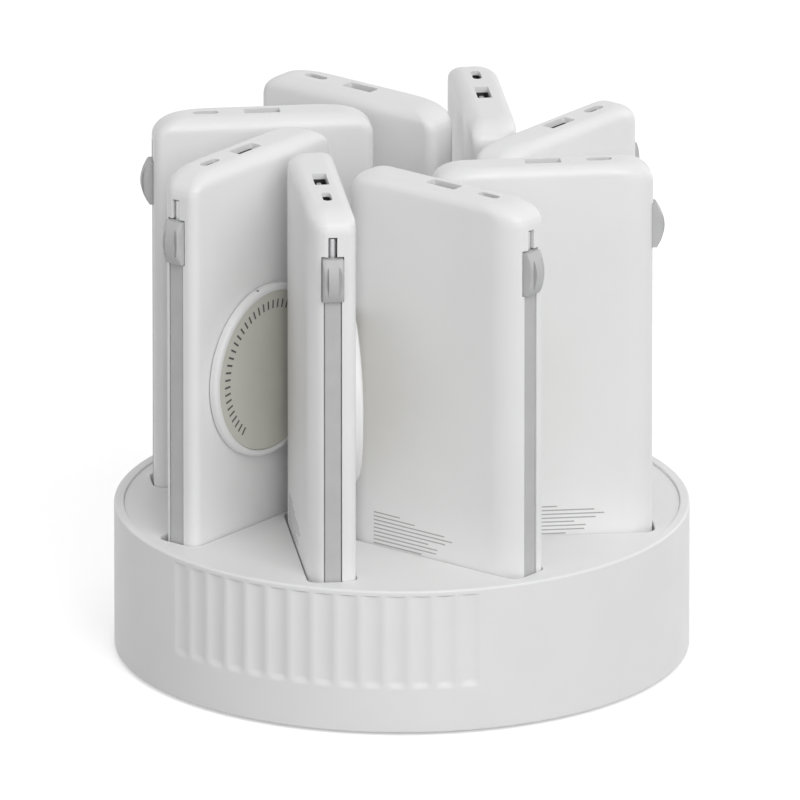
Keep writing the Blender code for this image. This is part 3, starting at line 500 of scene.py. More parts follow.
def shade(item, sharp_angle=40.0):
    item.data.shade_smooth()
    item.data.set_sharp_from_angle(angle=math.radians(sharp_angle))
    step = item.modifiers.new("Face weights", "WEIGHTED_NORMAL")
    step.keep_sharp = True
    step.weight = 60
    return item


def dress(item, material, body, replaced=()):
    """Give a piece its material, and tie it to its body and to the nodes that it stands for."""
    if material:
        item.data.materials.clear()
        item.data.materials.append(material)
    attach(item, body)
    if replaced:
        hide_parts(*replaced)
    return item


# Materials


def new_material(name):
    material = bpy.data.materials.new(name)
    material.use_nodes = True
    tree = material.node_tree
    shader = tree.nodes["Principled BSDF"]
    place = tree.nodes.new("ShaderNodeTexCoord")
    return material, tree, shader, place.outputs["Object"]


def add_noise(tree, place, size, detail=2.0, stretch=None):
    """Noise whose features are about the given size, stretched along an axis if asked."""
    noise = tree.nodes.new("ShaderNodeTexNoise")
    noise.inputs["Scale"].default_value = 1.0 / size
    noise.inputs["Detail"].default_value = detail
    if stretch:
        mapping = tree.nodes.new("ShaderNodeMapping")
        mapping.inputs["Scale"].default_value = stretch
        tree.links.new(place, mapping.inputs["Vector"])
        place = mapping.outputs["Vector"]
    tree.links.new(place, noise.inputs["Vector"])
    return noise.outputs["Fac"]


def add_range(tree, value, low, high, source=(0.3, 0.7)):
    step = tree.nodes.new("ShaderNodeMapRange")
    step.inputs["From Min"].default_value = source[0]
    step.inputs["From Max"].default_value = source[1]
    step.inputs["To Min"].default_value = low
    step.inputs["To Max"].default_value = high
    tree.links.new(value, step.inputs["Value"])
    return step.outputs["Result"]


def add_tint(tree, factor, first, second):
    mix = tree.nodes.new("ShaderNodeMix")
    mix.data_type = "RGBA"
    mix.inputs["A"].default_value = (*first, 1.0)
    mix.inputs["B"].default_value = (*second, 1.0)
    tree.links.new(factor, mix.inputs["Factor"])
    return mix.outputs["Result"]


def add_bump(tree, height, depth, strength, before=None):
    bump = tree.nodes.new("ShaderNodeBump")
    bump.inputs["Distance"].default_value = depth
    bump.inputs["Strength"].default_value = strength
    tree.links.new(height, bump.inputs["Height"])
    if before:
        tree.links.new(before, bump.inputs["Normal"])
    return bump.outputs["Normal"]


def scaled(colour, share):
    return tuple(part * share for part in colour)


def add_mottle(tree, value, colour, darkest, lightest=1.0):
    """The colour, drifting between two shares of itself."""
    share = add_range(tree, value, 0.0, 1.0)
    return add_tint(tree, share, scaled(colour, darkest), scaled(colour, lightest))


def drive(tree, shader, colour, roughness, normal):
    tree.links.new(colour, shader.inputs["Base Color"])
    tree.links.new(roughness, shader.inputs["Roughness"])
    tree.links.new(normal, shader.inputs["Normal"])


def moulded_plastic(name, colour, roughness, grain=0.35 * MM, grain_depth=0.012 * MM, drift=0.03):
    """Satin moulding: faint cloudiness in colour and gloss, eroded grain, slow surface waves."""
    material, tree, shader, place = new_material(name)
    tint = add_mottle(tree, add_noise(tree, place, 28.0 * MM, 3.0), colour, 1.0 - drift)
    gloss = add_range(tree, add_noise(tree, place, 9.0 * MM, 4.0), roughness - 0.05, roughness + 0.05)
    waves = add_bump(tree, add_noise(tree, place, 14.0 * MM, 1.0), 0.03 * MM, 0.5)
    fine = add_bump(tree, add_noise(tree, place, grain, 2.0), grain_depth, 0.6, waves)
    drive(tree, shader, tint, gloss, fine)
    return material


def soft_touch(name, colour, roughness=0.62, drift=0.06):
    """Matt silicone or soft paint: powdery grain and a faint sheen."""
    material, tree, shader, place = new_material(name)
    tint = add_mottle(tree, add_noise(tree, place, 6.0 * MM, 4.0), colour, 1.0 - drift)
    powder = add_noise(tree, place, 0.3 * MM, 3.0)
    gloss = add_range(tree, powder, roughness - 0.06, roughness + 0.06)
    drive(tree, shader, tint, gloss, add_bump(tree, powder, 0.02 * MM, 0.5))
    shader.inputs["Sheen Weight"].default_value = 0.08
    shader.inputs["Sheen Roughness"].default_value = 0.5
    return material


def brushed_metal(name, colour, roughness, stretch):
    """Plated metal with fine drawing lines along one axis."""
    material, tree, shader, place = new_material(name)
    lines = add_noise(tree, place, 0.25 * MM, 3.0, stretch)
    tint = add_mottle(tree, lines, colour, 0.9)
    gloss = add_range(tree, lines, roughness - 0.07, roughness + 0.07)
    drive(tree, shader, tint, gloss, add_bump(tree, lines, 0.01 * MM, 0.4))
    shader.inputs["Metallic"].default_value = 1.0
    return material


def ink(name, colour):
    """Printed ink that lets a little of its ground through."""
    material, tree, shader, place = new_material(name)
    tint = add_mottle(tree, add_noise(tree, place, 0.25 * MM, 2.0), colour, 0.85, 1.15)
    tree.links.new(tint, shader.inputs["Base Color"])
    shader.inputs["Roughness"].default_value = 0.6
    return material


def foil(name, colour):
    """Crinkled wrap round the cells."""
    material, tree, shader, place = new_material(name)
    creases = add_noise(tree, place, 4.0 * MM, 5.0)
    tint = add_mottle(tree, creases, colour, 0.8)
    gloss = add_range(tree, creases, 0.25, 0.45)
    drive(tree, shader, tint, gloss, add_bump(tree, creases, 0.3 * MM, 0.6))
    shader.inputs["Metallic"].default_value = 0.8
    return material


def circuit_board(name, colour):
    """Solder mask with a hint of the tracks under it."""
    material, tree, shader, place = new_material(name)
    tracks = tree.nodes.new("ShaderNodeTexVoronoi")
    tracks.distance = "CHEBYCHEV"
    tracks.inputs["Scale"].default_value = 1.0 / (3.0 * MM)
    tree.links.new(place, tracks.inputs["Vector"])
    edge = add_range(tree, tracks.outputs["Distance"], 0.0, 1.0, (0.3, 0.45))
    tint = add_tint(tree, edge, colour, scaled(colour, 1.7))
    gloss = add_range(tree, edge, 0.3, 0.45)
    drive(tree, shader, tint, gloss, add_bump(tree, edge, 0.04 * MM, 0.5))
    return material


WHITE_SHELL = moulded_plastic("white_shell_finish", (0.89, 0.89, 0.89), 0.46)
WHITE_DECK = moulded_plastic("white_deck_finish", (0.89, 0.89, 0.89), 0.5)
WHITE_BANK = moulded_plastic("white_bank_finish", (0.89, 0.89, 0.89), 0.38)
WHITE_BUTTON = moulded_plastic("white_button_finish", (0.85, 0.85, 0.85), 0.34, drift=0.02)
COVER_PLASTIC = moulded_plastic("cover_finish", (0.66, 0.66, 0.66), 0.6, 0.6 * MM, 0.03 * MM)
GREY_STRAP = soft_touch("strap_finish", (0.55, 0.55, 0.555))
GREY_PLUG = soft_touch("plug_finish", (0.55, 0.55, 0.555), 0.5)
DISC_FACE = soft_touch("disc_face_finish", (0.66, 0.65, 0.59), 0.55, 0.03)
RUBBER = soft_touch("rubber_finish", (0.05, 0.05, 0.05), 0.8)
BLACK_PLASTIC = moulded_plastic("black_plastic_finish", (0.025, 0.025, 0.025), 0.45)
TONGUE = moulded_plastic("tongue_finish", (0.55, 0.55, 0.56), 0.45)
DARK_WINDOW = moulded_plastic("dark_window_finish", (0.03, 0.03, 0.03), 0.25)
PLUG_STEEL = brushed_metal("plug_steel_finish", (0.55, 0.55, 0.56), 0.42, (1.0, 1.0, 0.1))
# Steel of the sockets' cans and of the inlet's sleeve, painted far darker than plain steel: painted shade
# for the dim insides of the sockets and the bore
SHADE_DARKENED_CAN_STEEL = brushed_metal("can_steel_painted_shade_finish", (0.10, 0.10, 0.105), 0.5, (1.0, 1.0, 0.1))
GOLD = brushed_metal("contact_gold_finish", (0.83, 0.62, 0.28), 0.3, (0.1, 1.0, 1.0))
TICK_INK = ink("tick_ink_finish", (0.11, 0.105, 0.10))
RULE_INK = ink("rule_ink_finish", (0.42, 0.42, 0.42))
CELL_FOIL = foil("cell_foil_finish", (0.62, 0.64, 0.68))
BOARD_GREEN = circuit_board("board_finish", (0.03, 0.16, 0.08))


# Drum


def flute_dip(angle, share):
    """Depth of the wall's surface at an angle from the front; share fades the flutes at their ends."""
    across = (angle - FLUTE_FIRST) / FLUTE_PITCH
    if across <= 0.0 or across >= FLUTE_COUNT:
        return 0.0
    within = (2.0 * (across - math.floor(across)) - 1.0) / (1.0 - FLUTE_LAND)
    return FLUTE_DEPTH * share * max(1.0 - within * within, 0.0)


def wall_angles():
    """Directions of the wall's columns, from the front towards +X, dense over the flutes."""
    fluted = FLUTE_COUNT * FLUTE_COLUMNS
    angles = [FLUTE_FIRST + FLUTE_PITCH * step / FLUTE_COLUMNS for step in range(fluted)]
    start = FLUTE_FIRST + FLUTE_PITCH * FLUTE_COUNT
    rest = 2.0 * math.pi - FLUTE_PITCH * FLUTE_COUNT
    return angles + [start + rest * step / PLAIN_COLUMNS for step in range(PLAIN_COLUMNS)]


def wall_profile():
    """Closed section of the wall as (radius, z, share of the flutes)."""
    inner = DRUM_RADIUS - RIM_WIDTH
    outer_low = DRUM_LOW.z
    flute_low = outer_low + FLUTE_FOOT_MARGIN
    flute_high = RIM_TOP - FLUTE_TOP_MARGIN
    base = arc((DRUM_RADIUS - BASE_EDGE, outer_low + BASE_EDGE), BASE_EDGE, -90, 0, 4)
    profile = [(r, z, 0.0) for r, z in base]
    for step in range(FADE_STEPS + 1):
        rise = step / FADE_STEPS
        profile.append((DRUM_RADIUS, flute_low + FLUTE_FADE * rise, rise * rise * (3.0 - 2.0 * rise)))
    profile += [(DRUM_RADIUS, flute_high - FLUTE_END, 1.0)]
    profile += [(DRUM_RADIUS, flute_high - FLUTE_END / 2.0, FLUTE_END_SHARE), (DRUM_RADIUS, flute_high, 0.0)]
    top = arc((DRUM_RADIUS - RIM_EDGE, RIM_TOP - RIM_EDGE), RIM_EDGE, 0, 90, 6)
    profile += [(r, z, 0.0) for r, z in top]
    top = arc((inner + RIM_EDGE / 2.0, RIM_TOP - RIM_EDGE / 2.0), RIM_EDGE / 2.0, 90, 180, 4)
    profile += [(r, z, 0.0) for r, z in top]
    ledge = DECK_TOP - DECK_THICKNESS - FIT_GAP
    lip = inner - LEDGE_WIDTH
    ledge_low = ledge - LEDGE_THICKNESS
    profile += [(inner, ledge, 0.0), (lip, ledge, 0.0), (lip, ledge_low, 0.0)]
    wall_inner = DRUM_RADIUS - WALL_THICKNESS
    profile += [(wall_inner, ledge_low - LEDGE_SLOPE, 0.0), (wall_inner, outer_low, 0.0)]
    return profile


def inlet_outline(grow, corner):
    """The inlet's block as pairs of x and z."""
    block = slab_outline(INLET_HIGH.x + grow, INLET_HALF + grow, corner, corner, 5)
    return [(x, z + INLET_MIDDLE) for x, z in block]


def build_drum():
    bm = bmesh.new()
    profile = wall_profile()
    columns = []
    for angle in wall_angles():
        column = []
        for radius, level, share in profile:
            reach = radius - flute_dip(angle, share)
            column.append(bm.verts.new((reach * math.sin(angle), -reach * math.cos(angle), level)))
        columns.append(column)
    for index, here in enumerate(columns):
        there = columns[(index + 1) % len(columns)]
        for level in range(len(profile)):
            above = (level + 1) % len(profile)
            bm.faces.new((here[level], there[level], there[above], here[above]))
    drum = mesh_object("drum_wall", bm)
    outline = inlet_outline(FIT_GAP, INLET_OPENING_CORNER)
    cut(drum, add_prism, outline, DRUM_RADIUS / 2.0, DRUM_RADIUS + CUT_MARGIN, "y")
    shade(drum, sharp_angle=38.0)
    dress(drum, WHITE_SHELL, "base", ["drum_shell"])


def slot_outline(grow):
    corner = SLOT_CORNER + grow
    half_x = HALF_WIDTH + SLOT_CLEARANCE + grow
    half_y = HALF_THICKNESS + SLOT_CLEARANCE + grow
    return slab_outline(half_x, half_y, corner, corner, 10)


def add_slots(bm, low, high):
    for place in PLACES.values():
        outline = [(place @ Vector((x, y, 0.0))).xy for x, y in slot_outline(0.0)]
        add_prism(bm, outline, low, high)


def build_deck():
    """Plate with eight slots, and under each slot the well that a bank stands in."""
    deck_bottom = DECK_TOP - DECK_THICKNESS
    plate = circle_points(DRUM_RADIUS - RIM_WIDTH + DECK_LAP, DECK_STEPS)
    deck = made("deck_top", add_prism, plate, deck_bottom, DECK_TOP)
    cut(deck, add_slots, deck_bottom - CUT_MARGIN, DECK_TOP + CUT_MARGIN)
    round_edges(deck, SLOT_FILLET, lambda middle: middle.z > DECK_TOP - TOUCH)
    shade(deck)
    dress(deck, WHITE_DECK, "base", ["deck_plate"])

    floor_top = BANK_FOOT - FIT_GAP
    floor_low = floor_top - WELL_FLOOR
    well = made("well", add_prism, slot_outline(WELL_WALL), floor_low, deck_bottom)
    cut(well, add_prism, slot_outline(0.0), floor_top, deck_bottom + CUT_MARGIN)
    half_x = CONTACT_WINDOW_X / 2.0
    half_y = CONTACT_WINDOW_Y / 2.0
    window = slab_outline(half_x, half_y, WINDOW_CORNER, WINDOW_CORNER, 4)
    cut(well, add_prism, window, floor_low - CUT_MARGIN, floor_top + CUT_MARGIN)
    shade(well)
    pad_levels = (floor_top - WELL_PAD_HEIGHT, BANK_FOOT - WELL_PAD_GAP)
    pads = shade(made("well_contacts", add_pads, WELL_PAD, *pad_levels, 3))
    for number, place in PLACES.items():
        flat = place @ Matrix.Translation((0.0, 0.0, -BANK_FOOT))
        put(well, f"well_{number}", flat, WHITE_DECK, "base")
        put(pads, f"well_{number}_contacts", flat, GOLD, "base")
    discard(well)
    discard(pads)


def put(template, name, matrix, material, body, replaced=()):
    """Copy of a template that shares its mesh, placed and tied to a body."""
    item = linked(template.copy())
    item.name = name
    item.matrix_world = matrix
    return dress(item, material, body, replaced)


def foot_place(number):
    """Middle and radius of a foot."""
    low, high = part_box(f"foot_{number}")
    return (low + high) / 2.0, (high.x - low.x) / 2.0


def build_bottom_cover():
    radius = COVER_HIGH.x
    low = COVER_LOW.z
    top = low + COVER_THICKNESS
    profile = [(0.0, low)]
    for ring in COVER_GROOVE_RADII:
        profile += [(ring - COVER_GROOVE, low), (ring, low + COVER_GROOVE), (ring + COVER_GROOVE, low)]
    profile += arc((radius - COVER_EDGE, low + COVER_EDGE), COVER_EDGE, -90, 0, 4)
    profile += [(radius, top), (0.0, top)]
    cover = made("underside", add_turned, profile, 180)
    for number in range(1, FOOT_COUNT + 1):
        middle, foot_radius = foot_place(number)
        recess = circle_points(foot_radius + FIT_GAP, 64, middle)
        cut(cover, add_prism, recess, -CUT_MARGIN, FOOT_TOP + FIT_GAP)
    shade(cover)
    dress(cover, COVER_PLASTIC, "base", ["bottom_cover"])


def build_feet():
    """Four rubber feet, each with two grooves in its sole."""
    radius = foot_place(1)[1]
    half = FOOT_GROOVE_HALF
    profile = [(0.0, 0.0)]
    for ring in FOOT_GROOVE_RADII:
        profile += [(ring - half, 0.0), (ring, FOOT_GROOVE_DEPTH), (ring + half, 0.0)]
    profile += arc((radius - FOOT_EDGE, FOOT_EDGE), FOOT_EDGE, -90, 0, 4)
    profile += [(radius, FOOT_TOP), (0.0, FOOT_TOP)]
    foot = shade(made("foot", add_turned, profile, 64))
    for number in range(1, FOOT_COUNT + 1):
        middle = foot_place(number)[0]
        matrix = Matrix.Translation((middle.x, middle.y, 0.0))
        put(foot, f"rubber_foot_{number}", matrix, RUBBER, "base", [f"foot_{number}"])
    discard(foot)


def build_inlet():
    """Low-voltage inlet in the rear wall: rounded block with a bore, centre pin and sleeve."""
    face = INLET_HIGH.y
    inlet = made("inlet_block", add_prism, inlet_outline(0.0, INLET_CORNER), INLET_LOW.y, face, "y")
    bore = circle_points(BORE_RADIUS, 48, (0.0, INLET_MIDDLE))
    cut(inlet, add_prism, bore, face - BORE_DEPTH, face + CUT_MARGIN, "y")
    round_edges(inlet, INLET_EDGE, lambda middle: middle.y > face - TOUCH)
    shade(inlet)
    dress(inlet, BLACK_PLASTIC, "base", ["power_inlet"])

    pin_neck = -PIN_SUNK - PIN_EDGE
    pin = [(0.0, -PIN_FOOT), (PIN_RADIUS, -PIN_FOOT), (PIN_RADIUS, pin_neck)]
    pin += arc((PIN_RADIUS - PIN_EDGE, pin_neck), PIN_EDGE, 0, 90, 5)
    pin += [(0.0, -PIN_SUNK)]
    outer = BORE_RADIUS - SLEEVE_GAP
    inner = outer - SLEEVE_WALL
    sleeve = [(inner, -SLEEVE_FOOT), (outer, -SLEEVE_FOOT), (outer, -SLEEVE_SUNK), (inner, -SLEEVE_SUNK)]
    turn = Matrix.Rotation(-math.pi / 2.0, 4, "X")
    for name, profile, steps, material in (
        ("inlet_pin", pin, 24, PLUG_STEEL),
        ("inlet_sleeve", sleeve, 48, SHADE_DARKENED_CAN_STEEL),
    ):
        item = shade(made(name, add_turned, profile, steps))
        item.matrix_world = Matrix.Translation((0.0, face, INLET_MIDDLE)) @ turn
        dress(item, material, "base")


# Power bank


def edge_inset(below_top, drop, reach):
    """How far a rounded top edge has come in at a distance below the top."""
    if below_top >= drop:
        return 0.0
    rise = 1.0 - below_top / drop
    return reach * (1.0 - math.sqrt(max(1.0 - rise * rise, 0.0)))


def crown_section(level):
    """Half width of a bank at a height, and its reach to the bare and to the disc's face."""
    below_top = BANK_TOP - level
    half_x = HALF_WIDTH - edge_inset(below_top, SHOULDER_Z, SHOULDER_X)
    bare_y = HALF_THICKNESS - edge_inset(below_top, BARE_EDGE, BARE_EDGE)
    disc_y = HALF_THICKNESS - edge_inset(below_top, DISC_SIDE_EDGE, DISC_SIDE_EDGE)
    return half_x, bare_y, disc_y


def bank_outline(half_x, bare_y, disc_y):
    """Plan of a bank: two tight corners, then the two large ones."""
    tight_y = TIGHT_CORNER * disc_y / HALF_THICKNESS
    large_y = LARGE_CORNER_Y * bare_y / HALF_THICKNESS
    tight = (disc_y - tight_y, TIGHT_CORNER, tight_y)
    large = (large_y - bare_y, LARGE_CORNER_X, large_y)
    tight_x = half_x - TIGHT_CORNER
    large_x = half_x - LARGE_CORNER_X
    corners = ((tight_x, *tight), (-tight_x, *tight), (-large_x, *large), (large_x, *large))
    return rounded_outline(corners, CORNER_STEPS)


def bank_levels(low):
    """Heights of the housing's sections: even steps of angle round each of the crown's arcs."""
    levels = {low, BANK_TOP}
    for radius in (SHOULDER_Z, BARE_EDGE, DISC_SIDE_EDGE):
        for step in range(CROWN_STEPS):
            angle = 0.5 * math.pi * step / CROWN_STEPS
            levels.add(round(BANK_TOP - radius * (1.0 - math.sin(angle)), 7))
    ordered = sorted(levels)
    kept = ordered[:1]
    for level in ordered[1:]:
        if level - kept[-1] > LEVEL_GAP:
            kept.append(level)
    return kept


def socket_outline(centre_x, size, corner, grow=0.0):
    half_x = size[0] / 2.0 + grow
    half_y = size[1] / 2.0 + grow
    corner = min(corner + grow, half_y)
    return slab_outline(half_x, half_y, corner, corner, 6, centre_x)


def add_sockets(bm, low, high):
    add_prism(bm, socket_outline(USB_A_X, USB_A_SIZE, USB_A_CORNER), low, high)
    add_prism(bm, socket_outline(USB_C_X, USB_C_SIZE, USB_C_CORNER), low, high)


def button_outline(grow):
    """The button's pill shape as pairs of y and z, without its flange."""
    middle = (BUTTON_LOW + BUTTON_HIGH) / 2.0
    half_y = (BUTTON_HIGH.y - BUTTON_LOW.y) / 2.0 - BUTTON_LIP + grow
    half_z = (BUTTON_HIGH.z - BUTTON_LOW.z) / 2.0 - BUTTON_LIP + grow
    pill = slab_outline(half_y, half_z, half_y, half_y, 10)
    return [(middle.y + y, middle.z + z) for y, z in pill]


TIP_TOP = CABLE_HIGH.z - TIP_TRIM
PLUG_TOP = TIP_TOP - TIP_HEIGHT
PLUG_FOOT = PLUG_TOP - PLUG_HEIGHT
PLUG_BACK = HALF_WIDTH - PLUG_DEPTH
PLUG_RISE = CABLE_HIGH.x - HALF_WIDTH
CHANNEL_FLOOR = HINGE.x - STRAP_THICKNESS / 2.0 - FIT_GAP
CHANNEL_HALF = STRAP_WIDTH / 2.0 + FIT_GAP
CAVITY_HALF_X = HALF_WIDTH - SIDE_WALL
CAVITY_HALF_Y = HALF_THICKNESS - FACE_WALL


def build_housing():
    low = HOUSING_LOW.z
    rings = [ring_at(level, bank_outline(*crown_section(level))) for level in bank_levels(low)]
    housing = made("housing", add_loft, rings)

    side = CAVITY_HALF_X
    top = BANK_TOP - CROWN_WALL
    pocket_side = PLUG_BACK - FIT_GAP - POCKET_WALL
    step_level = PLUG_FOOT - FIT_GAP - POCKET_WALL
    cavity = [(-side, low - CUT_MARGIN), (side, low - CUT_MARGIN), (side, step_level)]
    cavity += [(pocket_side, step_level), (pocket_side, top)]
    cavity += [(-side + CAVITY_CORNER, top), (-side, top - CAVITY_CORNER)]
    cut(housing, add_prism, cavity, -CAVITY_HALF_Y, CAVITY_HALF_Y, "y")

    outside = HALF_WIDTH + CUT_MARGIN
    notch_foot = PLUG_FOOT - FIT_GAP
    notch_top = PLUG_TOP + SWING_GAP
    notch_back = PLUG_BACK - FIT_GAP
    half_notch = PLUG_WIDTH / 2.0 + FIT_GAP
    half_tip = TIP_THICKNESS / 2.0 + FIT_GAP
    for back, half, levels in (
        (CHANNEL_FLOOR, CHANNEL_HALF, (low - CUT_MARGIN, notch_foot + FIT_GAP)),
        (notch_back, half_notch, (notch_foot, notch_top)),
        (notch_back, half_tip, (notch_top - FIT_GAP, TIP_TOP + SWING_GAP)),
    ):
        cut(housing, add_box, (back, outside), (-half, half), levels)
    cut(housing, add_sockets, top - CUT_MARGIN, BANK_TOP + CUT_MARGIN)
    cut(housing, add_prism, button_outline(FIT_GAP), -outside, -side + CUT_MARGIN, "x")

    def outer_edge(middle):
        if middle.z > BANK_TOP - TOP_BAND:
            return True
        if middle.x < -HALF_WIDTH + INNER_BAND:
            return middle.z > BUTTON_LOW.z
        return middle.x > HALF_WIDTH - OUTER_BAND and abs(middle.y) < OUTER_HALF

    round_edges(housing, OPENING_FILLET, outer_edge)
    return shade(housing, sharp_angle=42.0)


def build_end_cap():
    """Lower end of a bank: rounded foot, tenon inside the housing, recesses for the contacts."""
    flange = HOUSING_LOW.z - FIT_GAP
    rings = []
    for inset, rise in rounded_edge(CAP_EDGE):
        half_y = HALF_THICKNESS - inset
        rings.append(ring_at(rise, bank_outline(HALF_WIDTH - inset, half_y, half_y)))
    rings.append([Vector((p.x, p.y, flange)) for p in rings[-1]])
    cap = made("end_cap", add_loft, rings)
    channel_x = (CHANNEL_FLOOR, HALF_WIDTH + CUT_MARGIN)
    channel_z = (flange - CAP_CHANNEL, flange + CUT_MARGIN)
    cut(cap, add_box, channel_x, (-CHANNEL_HALF, CHANNEL_HALF), channel_z)
    half_x = CAVITY_HALF_X - FIT_GAP
    half_y = CAVITY_HALF_Y - FIT_GAP
    join(cap, add_box, (-half_x, half_x), (-half_y, half_y), (flange / 2.0, flange + TENON_RISE))
    cut(cap, add_pads, CAP_PAD_HOLE, -CUT_MARGIN, CAP_PAD_RECESS)
    return shade(cap)


def build_cells():
    """Cell block and the board above it, inside the housing."""
    low = HOUSING_LOW.z + CELLS_FOOT_GAP
    top = PLUG_FOOT - CELLS_PLUG_GAP
    edge = CELLS_EDGE
    rings = []
    for inset, level in ((edge, low), (0.0, low + edge), (0.0, top - edge), (edge, top)):
        halves = (CELLS_HALF_X - inset, CELLS_HALF_Y - inset)
        rings.append(ring_at(level, slab_outline(*halves, CELLS_CORNER, CELLS_CORNER - inset, 6)))
    cells = made("cells", add_loft, rings)
    levels = (top - BOARD_LAP, BANK_TOP - CROWN_WALL - FIT_GAP - USB_A_SIZE[2])
    board = made("board", add_box, (BOARD_START, BOARD_END), (-BOARD_HALF_Y, BOARD_HALF_Y), levels)
    return shade(cells), shade(board)


def build_can(name, centre_x, size, corner, mouth):
    """Drawn metal can with its floor."""
    floor = mouth - size[2]
    outer = socket_outline(centre_x, size, corner, -CAN_GAP)
    inner = socket_outline(centre_x, size, corner, -CAN_GAP - CAN_WALL)
    can = made(name, add_prism, outer, floor - CAN_WALL, mouth)
    cut(can, add_prism, inner, floor, mouth + CUT_MARGIN)
    return shade(can)


def build_tongue(name, centre_x, size, tongue, mouth):
    """Plate that stands on the floor of a can."""
    width, thickness, sunk = tongue
    top = mouth - sunk
    rings = []
    for share, level in ((0.0, mouth - size[2]), (0.0, top - TONGUE_EDGE), (1.0, top)):
        half_x = width / 2.0 - TONGUE_INSET[0] * share
        half_y = thickness / 2.0 - TONGUE_INSET[1] * share
        rings.append(ring_at(level, slab_outline(half_x, half_y, *TONGUE_CORNER, 2, centre_x)))
    return shade(made(name, add_loft, rings))


def build_button():
    """Button in the inner narrow side: rounded edge outside, flange inside."""
    face = BUTTON_LOW.x
    inner = BUTTON_HIGH.x
    rings = [[Vector((inner, y, z)) for y, z in button_outline(0.0)]]
    for inset, rise in reversed(rounded_edge(BUTTON_EDGE)):
        rings.append([Vector((face + rise, y, z)) for y, z in button_outline(-inset)])
    button = made("button", add_loft, rings)
    join(button, add_prism, button_outline(BUTTON_LIP), inner - BUTTON_FLANGE, inner, "x")
    return shade(button)


def lay_on_face(item):
    """Turn a piece made round z so that it faces +y on the bank's wide face, with its own -y up."""
    item.data.transform(Matrix.Rotation(-math.pi / 2.0, 4, "X"))
    item.data.transform(Matrix.Translation((0.0, DISC_LOW.y, DISC_CENTRE)))
    return item


def add_lights(bm, half, corner, low, high):
    """Square pegs in the disc's outer wall, on each side of its top."""
    outline = slab_outline(half, half, corner, corner, 3)
    middle = DISC_THICKNESS * LED_HEIGHT
    for side in (-1.0, 1.0):
        turn = Matrix.Rotation(side * LED_ANGLE - math.pi / 2.0, 4, "Z")
        rings = [[turn @ Vector((reach, u, middle + v)) for u, v in outline] for reach in (low, high)]
        add_loft(bm, rings)


def build_disc_ring():
    inner = DISC_RADIUS - DISC_RING
    inner_x, inner_z = DISC_INNER_EDGE
    foot = DISC_FOOT_EDGE
    lip = DISC_LIP_EDGE
    profile = [(inner, inner_z), (inner + inner_x, 0.0), (DISC_RADIUS - foot, 0.0), (DISC_RADIUS, foot)]
    profile += arc((DISC_RADIUS - DISC_EDGE, DISC_THICKNESS - DISC_EDGE), DISC_EDGE, 0, 90, 6)
    profile += arc((inner + lip, DISC_THICKNESS - lip), lip, 90, 180, 4)
    ring = made("disc_ring", add_turned, profile, 160)
    cut(ring, add_lights, LED_SIZE / 2.0, LED_CORNER, DISC_RADIUS - LED_DEPTH, DISC_RADIUS + CUT_MARGIN)
    return lay_on_face(shade(ring))


def build_disc_lenses():
    levels = (DISC_RADIUS - LENS_FOOT, DISC_RADIUS - LENS_SUNK)
    return lay_on_face(shade(made("disc_leds", add_lights, LED_SIZE / 2.0 - LENS_GAP, LENS_CORNER, *levels)))


def build_disc_face():
    front = DISC_THICKNESS - DISC_FACE_SUNK
    radius = DISC_RADIUS - DISC_RING - DISC_FACE_GAP
    edge = DISC_FACE_EDGE
    profile = [(0.0, DISC_FACE_LOW), (radius, DISC_FACE_LOW)]
    profile += arc((radius - edge, front - edge), edge, 0, 90, 4)
    profile += [(0.0, front)]
    return lay_on_face(shade(made("disc_face", add_turned, profile, 128)))


def add_ticks(bm):
    """Printed scale: short radial strokes, with a bare stretch at the bottom."""
    low = DISC_THICKNESS - DISC_FACE_SUNK - PRINT_THICKNESS
    half = TICK_WIDTH / 2.0
    corners = ((TICK_INNER, -half), (TICK_OUTER, -half), (TICK_OUTER, half), (TICK_INNER, half))
    for index in range(round(2.0 * math.pi / TICK_PITCH)):
        away = TICK_PITCH * index
        if min(away, 2.0 * math.pi - away) < TICK_GAP:
            continue
        turn = Matrix.Rotation(away + math.pi / 2.0, 4, "Z")
        levels = (low, low + 2.0 * PRINT_THICKNESS)
        add_loft(bm, [[turn @ point for point in ring_at(level, corners)] for level in levels])


def add_rules(bm):
    """Plain ruled lines near the foot of the bare wide face."""
    depth = (-HALF_THICKNESS - PRINT_THICKNESS / 2.0, -HALF_THICKNESS + PRINT_THICKNESS)
    half = RULE_WIDTH / 2.0
    for index, length in enumerate(RULE_LENGTHS):
        level = DECK_TOP - BANK_FOOT + RULE_TOP_RISE - RULE_PITCH * index
        add_box(bm, (RULE_LEFT, RULE_LEFT + length * MM), depth, (level - half, level + half))


def plug_section(rise):
    """Section of the plug across its length: flat back and sides, rounded towards a flat crest."""
    half = PLUG_WIDTH / 2.0
    crest = PLUG_CREST / 2.0
    side_rise = min(PLUG_SIDE_RISE, PLUG_SIDE_SHARE * rise)
    points = [(PLUG_BACK, -half)]
    for step in range(CREST_STEPS + 1):
        angle = 0.5 * math.pi * step / CREST_STEPS
        x = HALF_WIDTH + side_rise + (rise - side_rise) * math.sin(angle)
        points.append((x, -crest - (half - crest) * math.cos(angle)))
    mirrored = [(x, -y) for x, y in reversed(points)]
    return points + mirrored


